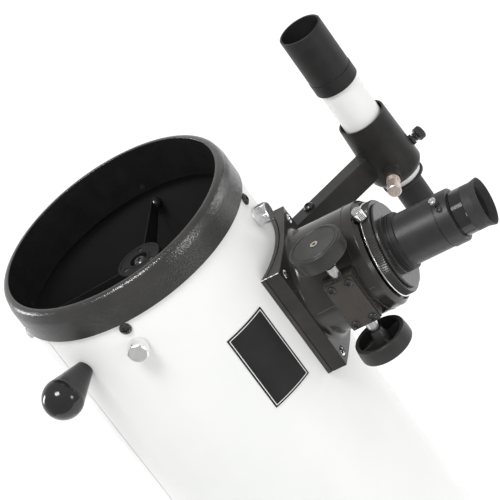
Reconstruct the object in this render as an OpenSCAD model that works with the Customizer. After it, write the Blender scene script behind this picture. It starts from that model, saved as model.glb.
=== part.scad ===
// Newtonian reflector telescope, optical tube with focuser, eyepiece and finder.
// Millimetres. The origin is the centre of the rear ring's rear face, +Z runs up the
// optical axis to the open front end, and +X runs out along the focuser.

/* [Tube] */
// Outer diameter of the main tube
tube_d = 184; // [178:1:190]
// Wall thickness of the main tube
tube_wall = 0.8; // [0.6:0.1:1.2]
// Length of the main tube between the end rings
tube_len = 1121; // [1090:1:1160]

/* [End rings] */
// Visible height of the front ring
front_ring_h = 26.5; // [24:0.5:32]
// Visible height of the rear ring
rear_ring_h = 30; // [28:1:36]
// Distance that both rings stand out past the tube
ring_proud = 1.8; // [1:0.1:3]
// Distance from the tube's outside to the rear ring's inside
ring_t = 8; // [6:0.5:9]
// Width of the flat at the front ring's inner edge, inside the rounded lip
lip_flat = 0.7; // [0.4:0.1:1.5]
// Radius of the rounding at the rear ring's outer edge
rear_edge_r = 3; // [2:0.5:4]
// Length of the sleeve that each ring pushes into the tube
sleeve_len = 10; // [8:0.5:14]
// Wall thickness of the sleeve
sleeve_t = 4; // [3:0.5:5]
// Head diameter of the ring screws
ring_screw_head_d = 9; // [7:0.5:10]
// Shank diameter of the ring screws
ring_screw_d = 4; // [3:0.5:5]

/* [Primary mirror cell] */
// Diameter of the primary mirror
mirror_d = 150; // [146:1:154]
// Edge thickness of the primary mirror
mirror_t = 22; // [18:1:26]
// Focal length of the primary mirror
focal_len = 1200; // [1100:10:1300]
// Thickness of the mirror cell plate
cell_t = 7; // [6:0.5:9]
// Thickness of the back plate that carries the collimation knobs
back_plate_t = 4; // [3:0.5:5]
// Height of the back plate's underside above the rear face
back_plate_z = 20; // [18:0.5:22]
// Length of the collimation springs
spring_len = 22; // [18:0.5:26]
// Mean diameter of the collimation springs
spring_d = 13; // [11:0.5:15]
// Wire diameter of the collimation springs
spring_wire = 1.8; // [1.4:0.1:2.2]
// Turns of each collimation spring
spring_turns = 5; // [4:1:6]
// Gap between the collimation knobs and the edge of the rear ring's ledge
knob_edge_gap = 5; // [2:0.5:8]
// Diameter of a collimation knob
coll_knob_d = 18; // [14:1:22]
// Height of a collimation knob
coll_knob_h = 13; // [10:0.5:15]
// Thread diameter of a collimation knob
coll_thread_d = 6; // [5:0.5:7]
// Travel of the cell each way when the three knobs turn together
cell_travel = 1; // [0.5:0.1:1.5]

/* [Spider and secondary] */
// Distance of the spider's nuts behind the front plane
spider_depth = 48.5; // [46:0.5:54]
// Vane height at the hub
vane_h_hub = 16; // [12:0.5:20]
// Vane height at the tube wall
vane_h_wall = 9; // [7:0.5:12]
// Vane thickness
vane_t = 1; // [0.8:0.1:1.6]
// Hub diameter
hub_d = 35; // [30:1:40]
// Hub length
hub_len = 24; // [20:1:28]
// Diameter of the chrome spider nuts
spider_nut_d = 13.4; // [11:0.2:15]
// Height of the chrome spider nuts
spider_nut_h = 10.5; // [8:0.5:12]
// Diameter of the threaded stud at a vane's end
stud_d = 5; // [4:0.5:6]
// Minor axis of the secondary mirror
secondary_d = 36; // [34:1:42]
// Thickness of the secondary mirror
secondary_t = 6; // [5:0.5:8]

/* [Focuser base] */
// Distance of the focuser axis behind the front plane
focuser_depth = 118; // [113:1:125]
// Width of the base around the tube
base_w = 85; // [84:1:90]
// Length of the base along the tube
base_len = 92; // [86:1:96]
// Distance of the base's middle from the focuser's axis, towards the front
base_shift = -1; // [-2:0.5:2]
// Thickness of the saddle pad
saddle_t = 3.6; // [2.5:0.1:4]
// Height of the flange above the tube at its middle
flange_h = 7.4; // [5.5:0.1:8]
// Height that the flange's crown falls from its middle to its edge
flange_drop = 2.4; // [1.5:0.1:3]
// Head diameter of the base screws
base_screw_head_d = 7.2; // [5.5:0.1:7.5]
// Distance of the base screws from the flange's edges
base_screw_inset = 7.5; // [6:0.5:9]

/* [Focuser housing] */
// Diameter of the round housing
drum_d = 81; // [80:0.5:86]
// Height of the housing's end above the tube
drum_h = 60; // [57:0.5:65]
// Radius of the rounding at the housing's end
drum_edge_r = 4; // [2:0.5:5]
// Height of the pinion shaft above the tube
pinion_h = 37.8; // [34:0.1:39.5]
// Length of the pinion cover along the tube
cover_len = 41.6; // [38:0.2:46]
// Width of the pinion cover
cover_w = 22; // [20:0.5:26]
// Thickness of the pinion cover
cover_t = 2; // [1.5:0.1:3]
// Head diameter of the cover screws
cover_screw_head_d = 6.2; // [5:0.1:7]
// Distance of the cover screws from the cover's edges
cover_screw_inset = 4.2; // [3.8:0.1:5]

/* [Focus drive] */
// Gear module of the rack and pinion
gear_module = 0.8; // [0.7:0.05:0.9]
// Teeth on the pinion
pinion_teeth = 12; // [12:1:14]
// Face width of the rack and pinion
rack_w = 8; // [6:0.5:10]
// Height of the rack's pitch line above the drawtube
rack_pitch_h = 5.8; // [5:0.1:6.5]
// Diameter of the pinion shaft
shaft_d = 6; // [5:0.5:6]
// Diameter of the shaft bushes
bush_d = 8.8; // [8:0.1:9.5]
// Distance from the focuser axis to a bush's outer end
bush_reach = 31; // [28:0.5:32]
// Largest diameter of the focus knobs
knob_d = 41.2; // [38:0.2:48]
// Height of a focus knob's rim
knob_h = 12.5; // [11:0.5:16]
// Distance from the focuser axis to the front knob's outer face
knob_reach = 52.4; // [50:0.2:56]
// Distance from the focuser axis to the rear knob's outer face
rear_knob_reach = 49; // [48:0.2:56]
// Wall thickness of a knob's rim
knob_rim_t = 3; // [2:0.1:3.5]
// Diameter of the hub inside a knob
knob_hub_d = 13; // [11:0.5:15]

/* [Drawtube] */
// Outer diameter of the drawtube
drawtube_d = 60; // [58:0.5:61]
// Length of the drawtube
drawtube_len = 83; // [78:0.5:86]
// Gap between the housing and the trim ring with the drawtube as shown
rest_gap = 3; // [2.8:0.1:5]
// Diameter of the chrome trim ring
trim_d = 74.4; // [72:0.2:78]
// Thickness of the chrome trim ring
trim_t = 1.8; // [1:0.1:3]
// Diameter of the knurled clamp ring
clamp_ring_d = 72; // [70:0.5:76]
// Height of the knurled clamp ring
clamp_ring_h = 6.2; // [5:0.1:8]
// Thickness of the clamp ring's front lip
clamp_lip_t = 2.4; // [2:0.1:3]
// Angle of the clamp screw, from the front towards the pinion side
clamp_screw_angle = 14; // [5:1:30]

/* [Eyepiece adapter] */
// Diameter of the adapter's barrel, the 2 inch size
adapter_barrel_d = 50.8; // [50.2:0.1:51.4]
// Length of the adapter's barrel inside the drawtube
adapter_barrel_len = 26; // [22:0.5:30]
// Diameter of the adapter's first step, next to the clamp ring
step_a_d = 55; // [53:0.5:58]
// Height of the adapter's first step
step_a_h = 3; // [2:0.5:5]
// Diameter of the adapter's second step
step_b_d = 48; // [45:0.5:52]
// Height of the adapter's second step
step_b_h = 3.5; // [2:0.5:5]
// Diameter of the adapter's third step, next to the neck
step_c_d = 43.4; // [41:0.2:44.8]
// Height of the adapter's third step
step_c_h = 3.5; // [2:0.5:5]
// Diameter of the adapter's neck
neck_d = 39.2; // [38:0.2:40]
// Length of the adapter's neck
neck_len = 31; // [26:0.5:34]
// Diameter of the adapter's collar
collar_d = 40.6; // [40:0.2:43]
// Length of the adapter's collar
collar_len = 12; // [10:0.5:14]
// Angle of the eyepiece clamp screw, from the front towards the pinion side
eyepiece_screw_angle = 20; // [5:1:40]
// Angle of the adapter's set screw, from the front towards the pinion side
set_screw_angle = 36; // [32:1:60]

/* [Eyepiece] */
// Diameter of the eyepiece barrel, the 1.25 inch size
eyepiece_barrel_d = 31.7; // [31:0.1:32.2]
// Length of the eyepiece barrel
eyepiece_barrel_len = 24; // [20:0.5:28]
// Diameter of the eyepiece body
eyepiece_body_d = 34.2; // [33.5:0.1:36]
// Length of the eyepiece body
eyepiece_body_len = 10; // [8:0.5:14]
// Length of the eyecup
eyecup_len = 12; // [9:0.5:15]
// Rim diameter of the eyecup
eyecup_rim_d = 37; // [36:0.5:41]
// Wall thickness of the eyecup
eyecup_t = 2; // [1.5:0.1:2.5]

/* [Finder bracket] */
// Gap round the tube between the focuser's base and the finder's shoe
shoe_gap = 1.775; // [0.5:0.025:12]
// Height of the finder's axis above the tube
finder_h = 106.7; // [100:0.5:112]
// Width of the finder's shoe around the tube
shoe_w = 30; // [28:0.5:34]
// Length of the shoe along the tube
shoe_len = 46; // [42:0.5:50]
// Height of the shoe above the tube
shoe_h = 10; // [9:0.5:12]
// Thickness of the shoe's floor above the tube
shoe_floor = 3; // [2.5:0.1:3.5]
// Width of the dovetail foot at its base
foot_w = 22; // [20:0.5:23]
// Distance that each side of the dovetail leans in
foot_lean = 2; // [1:0.1:2.5]
// Width of the stalk around the tube
stalk_w = 14.4; // [12:0.2:16]
// Length of the stalk along the tube
stalk_len = 19; // [16:0.5:22]
// Distance of the stalk's front face behind the front plane
stalk_depth = 103.2; // [101:0.2:105]
// Distance of the ring's front edge behind the front plane
finder_ring_depth = 79; // [76:0.5:82]
// Length of the ring
finder_ring_len = 54; // [50:0.5:58]
// Outer diameter of the ring at its front
finder_ring_d1 = 37.6; // [37:0.2:40]
// Outer diameter of the ring at its rear
finder_ring_d2 = 41; // [40:0.2:43]
// Bore of the ring
finder_ring_bore = 34.4; // [34:0.1:35]
// Distance of the alignment screws behind the front plane
align_depth = 121.5; // [118:0.5:125]

/* [Finder] */
// Outer diameter of the finder tube
finder_tube_d = 30.6; // [30:0.1:31]
// Wall thickness of the finder tube
finder_wall = 1; // [0.8:0.1:1.4]
// Distance of the finder tube's rear end behind the front plane
finder_tube_rear = 138; // [135:0.5:141]
// Distance that the dew shield stands out past the front plane
dew_front = 7; // [4:0.5:10]
// Outer diameter of the dew shield
dew_d = 33.9; // [32.8:0.1:34.5]
// Length of the dew shield
dew_len = 41; // [38:0.5:44]
// Outer diameter of the lock ring
lock_ring_d = 34.6; // [33.5:0.1:35.5]
// Length of the lock ring
lock_ring_len = 11; // [8:0.5:12]
// Diameter of the finder's eyepiece tube
finder_eye_d = 23.5; // [21:0.5:25]
// Length of the finder's eyepiece, with its eyecup
finder_eye_len = 53; // [46:0.5:56]
// Travel of the objective cell for focusing
finder_focus_travel = 5; // [3:0.5:6]

/* [Handle and label] */
// Angle of the guide handle around the tube, from the focuser
handle_angle = -122.6; // [-130:0.2:-115]
// Distance of the handle's axis behind the front plane
handle_depth = 54; // [50:0.5:60]
// Diameter of the handle at the tube
handle_base_d = 13; // [12:0.5:16]
// Diameter of the handle's ball end
handle_ball_d = 30.6; // [28:0.2:34]
// Height of the ball's centre above the tube
handle_ball_h = 30; // [27:0.5:34]
// Angle of the label plate's middle around the tube, from the focuser
label_angle = -47.6; // [-52:0.2:-46]
// Width of the label plate around the tube
label_w = 34.4; // [30:0.2:38]
// Length of the label plate along the tube
label_len = 64.5; // [58:0.5:72]
// Thickness of the label plate
label_t = 0.5; // [0.4:0.1:0.8]

/* [Altitude hubs] */
// Angle of the altitude axis around the tube, from the focuser
altitude_angle = -32.6; // [-34:0.2:-20]
// Height of the altitude axis above the rear face
altitude_z = 520; // [480:1:560]
// Diameter of an altitude hub's bearing
altitude_d = 64; // [56:1:72]
// Length of an altitude hub's bearing
altitude_len = 20; // [16:1:24]
// Diameter of an altitude hub's base
altitude_base_d = 84; // [78:1:90]
// Height of an altitude hub's base above the tube
altitude_base_h = 4; // [3:0.5:6]

/* [Clearances] */
// Radial clearance of turning shafts and sliding tubes
run_gap = 0.05; // [0.02:0.01:0.08]
// Clearance between other pieces of different bodies
free_gap = 0.3; // [0.2:0.05:0.4]
// Clearance of sleeves, bolts and studs in their holes
fit_gap = 0.1; // [0.05:0.05:0.15]

/* [Hidden] */
$fn = 96;
edge_bevel = 1;
head_bevel = 0.14;
eps = 0.01;
cut = 1;
seat_gap = 0.02;

// Tube and rings
tube_r = tube_d / 2;
bore_r = tube_r - tube_wall;
tube_z = rear_ring_h;
tube_top = tube_z + tube_len;
front_z = tube_top + front_ring_h;
ring_r = tube_r + ring_proud;
ring_inner_r = tube_r - ring_t;
sleeve_r = bore_r - fit_gap;
sleeve_inner_r = sleeve_r - sleeve_t;
lip_r = ring_r - sleeve_inner_r - lip_flat;
ring_screw_angles = [0, 90, 180, 270];
ring_screw_head_h = 2.6;
ring_screw_len = 5;
ring_screw_zs = [tube_z + sleeve_len / 2, tube_top - sleeve_len / 2];
screw_slot_w = 1;

// Mirror cell
plate_top = back_plate_z + back_plate_t;
ledge_t = 4;
ledge_w = 12;
ledge_r = ring_inner_r - ledge_w;
plate_play = 2;
plate_r = ring_inner_r - plate_play;
cell_z = plate_top + spring_len;
cell_margin = 4.5;
cell_r = mirror_d / 2 + cell_margin;
cell_hole_r = 22;
pad_h = 1;
pad_r = 8;
pad_circle_r = mirror_d * 0.35;
vent_r = (ledge_r - cell_hole_r) * 0.35;
mirror_z = cell_z + cell_t + pad_h;
mirror_r = mirror_d / 2;
knob_circle_r = ledge_r - coll_knob_d / 2 - knob_edge_gap;
cell_angles = [90, 210, 330];
lock_turn = 22;
lock_d = 4;
lock_len = back_plate_t + spring_len - cell_travel - free_gap;
mirror_steps = 8;
clip_turn = 60;
clip_w = 14;
clip_gap = 0.5;
clip_t = cell_r - mirror_r - clip_gap;
clip_reach = 3.5;
clip_h = 2.5;

// Spider and secondary
spider_z = front_z - spider_depth;
hub_r = hub_d / 2;
hub_top = spider_z + hub_len / 2;
hub_z = hub_top - hub_len;
stud_in = 6;
nut_end_t = 2;
foc_z = front_z - focuser_depth;
secondary_r = secondary_d / 2;
holder_gap = 5;
holder_top = hub_z - holder_gap;
bolt_d = 5;
bolt_head_d = 10;
bolt_recess = 4;
bolt_recess_d = 14;
bolt_sunk = 0.5;
bolt_bite = 8;
coll_screw_d = 4;
coll_screw_circle_r = 12;

// Focuser
flange_x = tube_r + flange_h;
base_z = foc_z + base_shift;
crown_r = (base_w * base_w / 4 + flange_drop * flange_drop) / (2 * flange_drop);
saddle_r = tube_r + saddle_t;
drum_r = drum_d / 2;
drum_x = tube_r + drum_h;
drawtube_r = drawtube_d / 2;
drawtube_bore_r = adapter_barrel_d / 2 + run_gap;
pinion_x = tube_r + pinion_h;
pitch_r = gear_module * pinion_teeth / 2;
pinion_tip_r = pitch_r + gear_module;
pinion_root_r = pitch_r - 1.2 * gear_module;
rack_pitch_r = drawtube_r + rack_pitch_h;
rack_tooth_up = 0.65 * gear_module;
rack_tooth_down = 1.2 * gear_module;
tooth_thin = 0.12;
pressure = 20;
pinion_v = rack_pitch_r + pitch_r;
block_v = pinion_v + pinion_tip_r + free_gap;
shaft_r = shaft_d / 2;
bush_inset = 8;
bush_in = rack_w / 2 + bush_inset;
trim_x = drum_x + rest_gap;
clamp_ring_x = trim_x + trim_t;
draw_end_x = clamp_ring_x + clamp_ring_h;
draw_tail_x = draw_end_x - clamp_lip_t - drawtube_len;
rack_tail = 2;
rack_lead = 10;
rack_x0 = draw_tail_x + rack_tail;
rack_x1 = pinion_x + rack_lead;
keyway_w = rack_w + 2 * free_gap;
keyway_v = rack_pitch_r + rack_tooth_up + free_gap;
port_margin = 1.5;
port_r = keyway_v + port_margin;
base_screw_y = base_w / 2 - base_screw_inset;
base_screw_reach = flange_x - flange_drop + cut - sqrt(bore_r * bore_r - base_screw_y * base_screw_y);
base_screw_head_h = 2.4;
base_screw_sink = 0.5;
cover_screw_d = 3;
cover_screw_len = 6;
cover_screw_head_h = 2;
block_margin = 1;
clamp_screw_x = clamp_ring_x + (clamp_ring_h - clamp_lip_t) / 2;
clamp_screw_d = clamp_ring_h - clamp_lip_t - 2 * free_gap;
lip_groove = 2;
clamp_head_d = 8.6;
clamp_head_h = 9;
knob_face_t = 3;
knob_bevel = 1.4;
knob_taper = 0.8;
spoke_t = 2;
face_groove_in = 3.4;
face_groove_w = 0.8;
face_groove_depth = 0.6;

// Adapter and eyepiece
step_b_x = draw_end_x + step_a_h;
step_c_x = step_b_x + step_b_h;
neck_x = step_c_x + step_c_h;
collar_x = neck_x + neck_len;
adapter_end_x = collar_x + collar_len;
adapter_tail_x = draw_end_x - adapter_barrel_len;
adapter_bore_r = eyepiece_barrel_d / 2 + run_gap;
collar_groove = 0.8;
eyepiece_screw_d = 3;
eyepiece_screw_x = collar_x + collar_len / 3;
eyepiece_screw_head_d = 5.6;
eyepiece_screw_head_h = 5.5;
set_screw_x = collar_x + collar_len / 2;
set_screw_head_d = 4.4;
set_screw_head_h = 1.6;
barrel_wall = 1.5;
cup_x = adapter_end_x + eyepiece_body_len;
cup_flare_h = 5.4;
lens_r = 10;
lens_t = 4;

// Finder
finder_r = tube_r + finder_h;
finder_angle = asin(base_w / 2 / tube_r) + asin(shoe_w / 2 / tube_r) + shoe_gap / tube_r * 180 / PI;
shoe_z = front_z - stalk_depth - stalk_len / 2;
shoe_end_t = 3;
foot_len = shoe_len - shoe_end_t - free_gap;
foot_r0 = tube_r + shoe_floor + free_gap;
shoe_top_r = tube_r + shoe_h;
stalk_z0 = front_z - stalk_depth - stalk_len;
ring_z1 = front_z - finder_ring_depth;
ring_z0 = ring_z1 - finder_ring_len;
ring_round = 4;
ring_bite = 1;
align_z = front_z - align_depth;
finder_tube_r = finder_tube_d / 2;
finder_tube_z0 = front_z - finder_tube_rear;
dew_z1 = front_z + dew_front;
dew_z0 = dew_z1 - dew_len;
lock_ring_z = dew_z0 - free_gap / 2 - lock_ring_len;
finder_tube_z1 = dew_z0 + 2 * finder_focus_travel;
objective_gap = 4;
objective_z = finder_tube_z1 + objective_gap;
objective_t = 5;
finder_plug_len = 8;
finder_cap_t = 2.5;
finder_cap_rim = 1.4;
finder_cup_len = 14;
finder_eye_wall = 3;
finder_eye_hole_r = finder_eye_d / 2 - finder_eye_wall;
o_ring_in = 6;
o_ring_z = ring_z1 - o_ring_in;
o_ring_r = (finder_ring_bore / 2 - finder_tube_r) / 2 - run_gap;
align_turn = -3;
align_angles = [align_turn, align_turn + 120];
plunger_angle = align_turn - 120;
align_d = 4;
align_head_d = 10.4;
align_head_h = 5.5;
align_out = 26.8;
align_neck_h = 2.4;
align_neck_t = 1.8;
align_neck_d = 6.8;
locknut_t = 2.4;
locknut_gap = 0.4;
locknut_d = 9.5;
plunger_pin_d = 5;
plunger_d = 10.4;
plunger_boss_d = 13;
plunger_boss_out = 30;
plunger_out = 46.5;
plunger_travel = 2.5;
plunger_end_t = 2;
ring_wall_out = finder_ring_d1 / 2 + (finder_ring_d2 - finder_ring_d1) / 2
    * (align_depth - finder_ring_depth) / finder_ring_len;
shoe_screw_r = tube_r + shoe_h / 2 + 1;
shoe_screw_d = 5;
shoe_screw_head_d = 13;
shoe_screw_head_h = 9;
arm_screw_h = 24;
arm_screw_d = 4;
arm_screw_len = 8;
arm_screw_head_d = 8.4;
arm_screw_head_h = 3.6;

// Tube bolts
bolt_r = 2.5;
bolt_cap_r = 5;
bolt_cap_h = 3.5;
handle_z = front_z - handle_depth;
handle_meet = 6;
handle_sink = 2;
handle_bolt_len = 16;
hub_bolt_len = 14;
shoe_bolt_len = tube_wall + shoe_floor - free_gap;
shoe_bolt_dz = 14;
hub_bolt_turn = [0, 180];

// Places its child on the outward axis at an angle round the tube and a height.
// The child's own Z then points away from the optical axis.
module outward(angle, z) {
    rotate([0, 0, angle]) translate([0, 0, z]) rotate([0, 90, 0]) children();
}

// Places its child on the focuser's axis, with Z counted from the optical axis.
module on_focuser() {
    outward(0, foc_z) children();
}

// Places its child on the pinion shaft, with Z counted from the focuser's axis.
module on_pinion() {
    translate([pinion_x, -pinion_v, foc_z]) children();
}

// Places its child on a screw's axis that crosses the focuser's axis.
module focuser_radial(angle, x) {
    on_focuser() rotate([0, 0, 180 + angle]) translate([0, 0, x]) rotate([0, 90, 0]) children();
}

// Places its child in the finder's frame: X outward, Y round the tube, Z along it.
module on_finder() {
    rotate([0, 0, finder_angle]) children();
}

// Places its child on an alignment screw's axis, with Z counted from the finder's axis.
module finder_radial(angle) {
    on_finder() translate([finder_r, 0, align_z]) rotate([0, 0, angle]) rotate([0, 90, 0]) children();
}

module ring_pipe(r_out, r_in, h) {
    difference() {
        cylinder(r = r_out, h = h);
        translate([0, 0, -cut]) cylinder(r = r_in, h = h + 2 * cut);
    }
}

// A solid cylinder with a bevelled far end
module bevelled(r, h, bevel) {
    cylinder(r = r, h = h - bevel);
    translate([0, 0, h - bevel]) cylinder(r1 = r, r2 = r - bevel, h = bevel);
}

// A pan head screw with its head's underside at Z = 0 and its shank below
module pan_screw(head_d, head_h, shank_d, shank_len) {
    difference() {
        union() {
            bevelled(head_d / 2, head_h, head_h * 0.4);
            translate([0, 0, -shank_len]) cylinder(d = shank_d, h = shank_len + eps);
        }
        for (turn = [0, 90])
            rotate([0, 0, turn]) translate([-head_d * 0.3, -screw_slot_w / 2, head_h * 0.5])
                cube([head_d * 0.6, screw_slot_w, head_h]);
    }
}

module tube_solid(r) {
    translate([0, 0, -cut]) cylinder(r = r, h = front_z + 2 * cut, $fn = 180);
}

module main_tube() {
    color("whitesmoke") difference() {
        translate([0, 0, tube_z]) cylinder(r = tube_r, h = tube_len, $fn = 180);
        tube_solid(bore_r);
        for (angle = ring_screw_angles, z = ring_screw_zs)
            outward(angle, z) translate([0, 0, bore_r - cut])
                cylinder(d = ring_screw_d + 2 * fit_gap, h = tube_wall + 2 * cut);
        for (angle = ring_screw_angles)
            outward(angle, spider_z) translate([0, 0, bore_r - cut])
                cylinder(d = stud_d + 2 * fit_gap, h = tube_wall + 2 * cut);
        on_focuser() cylinder(r = port_r, h = tube_r + cut);
        base_screw_places() translate([0, 0, -base_screw_reach])
            cylinder(d = ring_screw_d + 2 * fit_gap, h = base_screw_reach + cut);
        bolt_places() translate([0, 0, -3 * cut])
            cylinder(r = bolt_r + fit_gap, h = 6 * cut);
    }
}

module front_ring() {
    color("dimgray") difference() {
        union() {
            translate([0, 0, tube_top - sleeve_len]) cylinder(r = sleeve_r, h = sleeve_len, $fn = 180);
            translate([0, 0, tube_top]) rotate_extrude($fn = 180) {
                square([ring_r, front_ring_h - lip_r]);
                square([ring_r - lip_r, front_ring_h]);
                intersection() {
                    translate([ring_r - lip_r, front_ring_h - lip_r]) circle(r = lip_r);
                    translate([ring_r - lip_r, front_ring_h - lip_r]) square(lip_r);
                }
            }
        }
        translate([0, 0, tube_top - sleeve_len - cut])
            cylinder(r = sleeve_inner_r, h = sleeve_len + front_ring_h + 2 * cut, $fn = 180);
        ring_screw_holes(ring_screw_zs[1]);
    }
}

module ring_screw_holes(z) {
    for (angle = ring_screw_angles)
        outward(angle, z) translate([0, 0, tube_r - ring_screw_len - cut])
            cylinder(d = ring_screw_d + 2 * seat_gap, h = ring_screw_len + 2 * cut);
}

module rear_ring() {
    color("dimgray") difference() {
        union() {
            translate([0, 0, rear_edge_r]) cylinder(r = ring_r, h = rear_ring_h - rear_edge_r, $fn = 180);
            cylinder(r1 = ring_r - rear_edge_r, r2 = ring_r, h = rear_edge_r, $fn = 180);
            translate([0, 0, rear_ring_h]) cylinder(r = sleeve_r, h = sleeve_len, $fn = 180);
        }
        translate([0, 0, -cut]) cylinder(r = ring_inner_r, h = back_plate_z - ledge_t + cut, $fn = 180);
        translate([0, 0, back_plate_z - ledge_t - cut]) cylinder(r = ledge_r, h = ledge_t + 2 * cut);
        translate([0, 0, back_plate_z]) cylinder(r = ring_inner_r, h = rear_ring_h + sleeve_len, $fn = 180);
        translate([0, 0, rear_ring_h]) cylinder(r = sleeve_inner_r, h = sleeve_len + cut, $fn = 180);
        ring_screw_holes(ring_screw_zs[0]);
        plate_screw_places() translate([0, 0, -cut]) cylinder(r = bolt_r + fit_gap, h = 4 * ledge_t);
    }
}

module ring_screws() {
    color("black") for (angle = ring_screw_angles, z = ring_screw_zs)
        outward(angle, z) translate([0, 0, tube_r + seat_gap])
            pan_screw(ring_screw_head_d, ring_screw_head_h, ring_screw_d, ring_screw_len);
}

// The screws that hold the back plate point up from the ledge's underside
module plate_screw_places() {
    for (angle = cell_angles)
        rotate([0, 0, angle + clip_turn]) translate([(ledge_r + plate_r) / 2, 0, back_plate_z - ledge_t])
            children();
}

module cell_back_plate() {
    color("gray") difference() {
        translate([0, 0, back_plate_z]) cylinder(r = plate_r, h = back_plate_t);
        translate([0, 0, back_plate_z - cut]) cylinder(r = cell_hole_r, h = back_plate_t + 2 * cut);
        for (angle = cell_angles) rotate([0, 0, angle]) {
            translate([knob_circle_r, 0, back_plate_z - cut])
                cylinder(d = coll_thread_d + 2 * run_gap, h = back_plate_t + 2 * cut);
            rotate([0, 0, lock_turn]) translate([knob_circle_r, 0, back_plate_z - cut])
                cylinder(d = lock_d + 2 * seat_gap, h = back_plate_t + 2 * cut);
            rotate([0, 0, clip_turn]) translate([(cell_hole_r + ledge_r) / 2, 0, back_plate_z - cut])
                cylinder(r = vent_r, h = back_plate_t + 2 * cut);
        }
        plate_screw_places() cylinder(r = bolt_r + seat_gap, h = 2 * ledge_t + back_plate_t);
    }
}

module cell_plate_screws() {
    color("black") {
        plate_screw_places() rotate([180, 0, 0])
            pan_screw(2 * bolt_cap_r, bolt_cap_h, 2 * bolt_r, ledge_t + back_plate_t);
        for (angle = cell_angles)
            rotate([0, 0, angle + lock_turn]) translate([knob_circle_r, 0, back_plate_z])
                rotate([180, 0, 0]) pan_screw(lock_d * 2, lock_d, lock_d, lock_len);
    }
}

module mirror_cell() {
    color("gray") difference() {
        union() {
            translate([0, 0, cell_z]) cylinder(r = cell_r, h = cell_t);
            for (angle = cell_angles)
                rotate([0, 0, angle]) translate([pad_circle_r, 0, cell_z + cell_t])
                    cylinder(r = pad_r, h = pad_h);
        }
        translate([0, 0, cell_z - cut]) cylinder(r = cell_hole_r, h = cell_t + 2 * cut);
        for (angle = cell_angles) rotate([0, 0, angle]) translate([knob_circle_r, 0, cell_z - cut])
            cylinder(d = coll_thread_d + 2 * run_gap, h = cell_t + pad_h + 2 * cut);
    }
}

// The mirror's front is a paraboloid of the stated focal length
mirror_front = [for (i = [0 : mirror_steps])
    let (r = mirror_r * i / mirror_steps)
    [r, mirror_t - (mirror_r * mirror_r - r * r) / (4 * focal_len)]];

module primary_mirror() {
    color("lightcyan") translate([0, 0, mirror_z]) rotate_extrude()
        polygon(concat([[mirror_r, 0], [0, 0]], mirror_front));
}

module mirror_clips() {
    clip_z = cell_z + cell_t;
    clip_top = mirror_z + mirror_t + clip_gap + clip_h;
    color("black") for (angle = cell_angles) rotate([0, 0, angle + clip_turn]) difference() {
        intersection() {
            translate([0, -clip_w / 2, clip_z]) cube([cell_r + cut, clip_w, clip_top - clip_z]);
            translate([0, 0, clip_z]) cylinder(r = cell_r, h = clip_top - clip_z);
        }
        translate([0, 0, clip_z - cut]) cylinder(r = cell_r - clip_t, h = clip_top - clip_z - clip_h + cut);
        translate([0, 0, clip_z - cut])
            cylinder(r = mirror_r - clip_reach, h = clip_top - clip_z + 2 * cut);
    }
}

module collimation_knob(angle) {
    color("silver") rotate([0, 0, angle]) translate([knob_circle_r, 0, back_plate_z - fit_gap]) {
        rotate([180, 0, 0]) bevelled(coll_knob_d / 2, coll_knob_h, edge_bevel);
        translate([0, 0, -eps])
            cylinder(d = coll_thread_d, h = back_plate_t + spring_len + cell_t - cell_travel);
    }
}

module collimation_knob_a() { collimation_knob(cell_angles[0]); }
module collimation_knob_b() { collimation_knob(cell_angles[1]); }
module collimation_knob_c() { collimation_knob(cell_angles[2]); }

// One spring is a round wire swept along a helix, with eight rings to a turn and six sides
spring_rings = 8;
spring_sides = 6;
spring_rise = spring_len - spring_wire - 2 * fit_gap;
spring_path = [for (i = [0 : spring_turns * spring_rings])
    let (a = 360 * i / spring_rings)
    [spring_d / 2 * cos(a), spring_d / 2 * sin(a),
     spring_wire / 2 + fit_gap + spring_rise * i / (spring_turns * spring_rings)]];
spring_points = [for (i = [0 : spring_turns * spring_rings], k = [0 : spring_sides - 1])
    let (a = 360 * i / spring_rings, b = 360 * k / spring_sides, r = spring_wire / 2 * cos(b))
    spring_path[i] + [r * cos(a), r * sin(a), spring_wire / 2 * sin(b)]];
spring_last = spring_turns * spring_rings * spring_sides;
spring_faces = concat(
    [for (i = [0 : spring_turns * spring_rings - 1], k = [0 : spring_sides - 1], half = [0, 1])
        let (p = i * spring_sides + k, q = i * spring_sides + (k + 1) % spring_sides)
        half == 0 ? [p, p + spring_sides, q] : [q, p + spring_sides, q + spring_sides]],
    [for (k = [1 : spring_sides - 2]) [0, k, k + 1]],
    [for (k = [1 : spring_sides - 2]) [spring_last, spring_last + k + 1, spring_last + k]]);
spring_gap = min([for (i = [0 : (spring_turns - 1) * spring_rings])
    norm(spring_path[i + spring_rings] - spring_path[i])]) - spring_wire;
echo(least_spring_gap = spring_gap);

module collimation_springs() {
    color("silver") for (angle = cell_angles)
        rotate([0, 0, angle]) translate([knob_circle_r, 0, plate_top])
            polyhedron(spring_points, spring_faces);
}

module spider_vanes() {
    color("black") for (angle = ring_screw_angles) outward(angle, spider_z) {
        rotate([90, 0, 0]) translate([0, 0, -vane_t / 2]) linear_extrude(vane_t)
            polygon([[-vane_h_hub / 2, hub_r], [vane_h_hub / 2, hub_r],
                [vane_h_wall / 2, bore_r - stud_in], [-vane_h_wall / 2, bore_r - stud_in]]);
        translate([0, 0, bore_r - stud_in - eps]) cylinder(d = vane_h_wall, h = stud_in - free_gap);
        translate([0, 0, bore_r - stud_in])
            cylinder(d = stud_d, h = stud_in + tube_wall + spider_nut_h - nut_end_t);
    }
}

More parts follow.
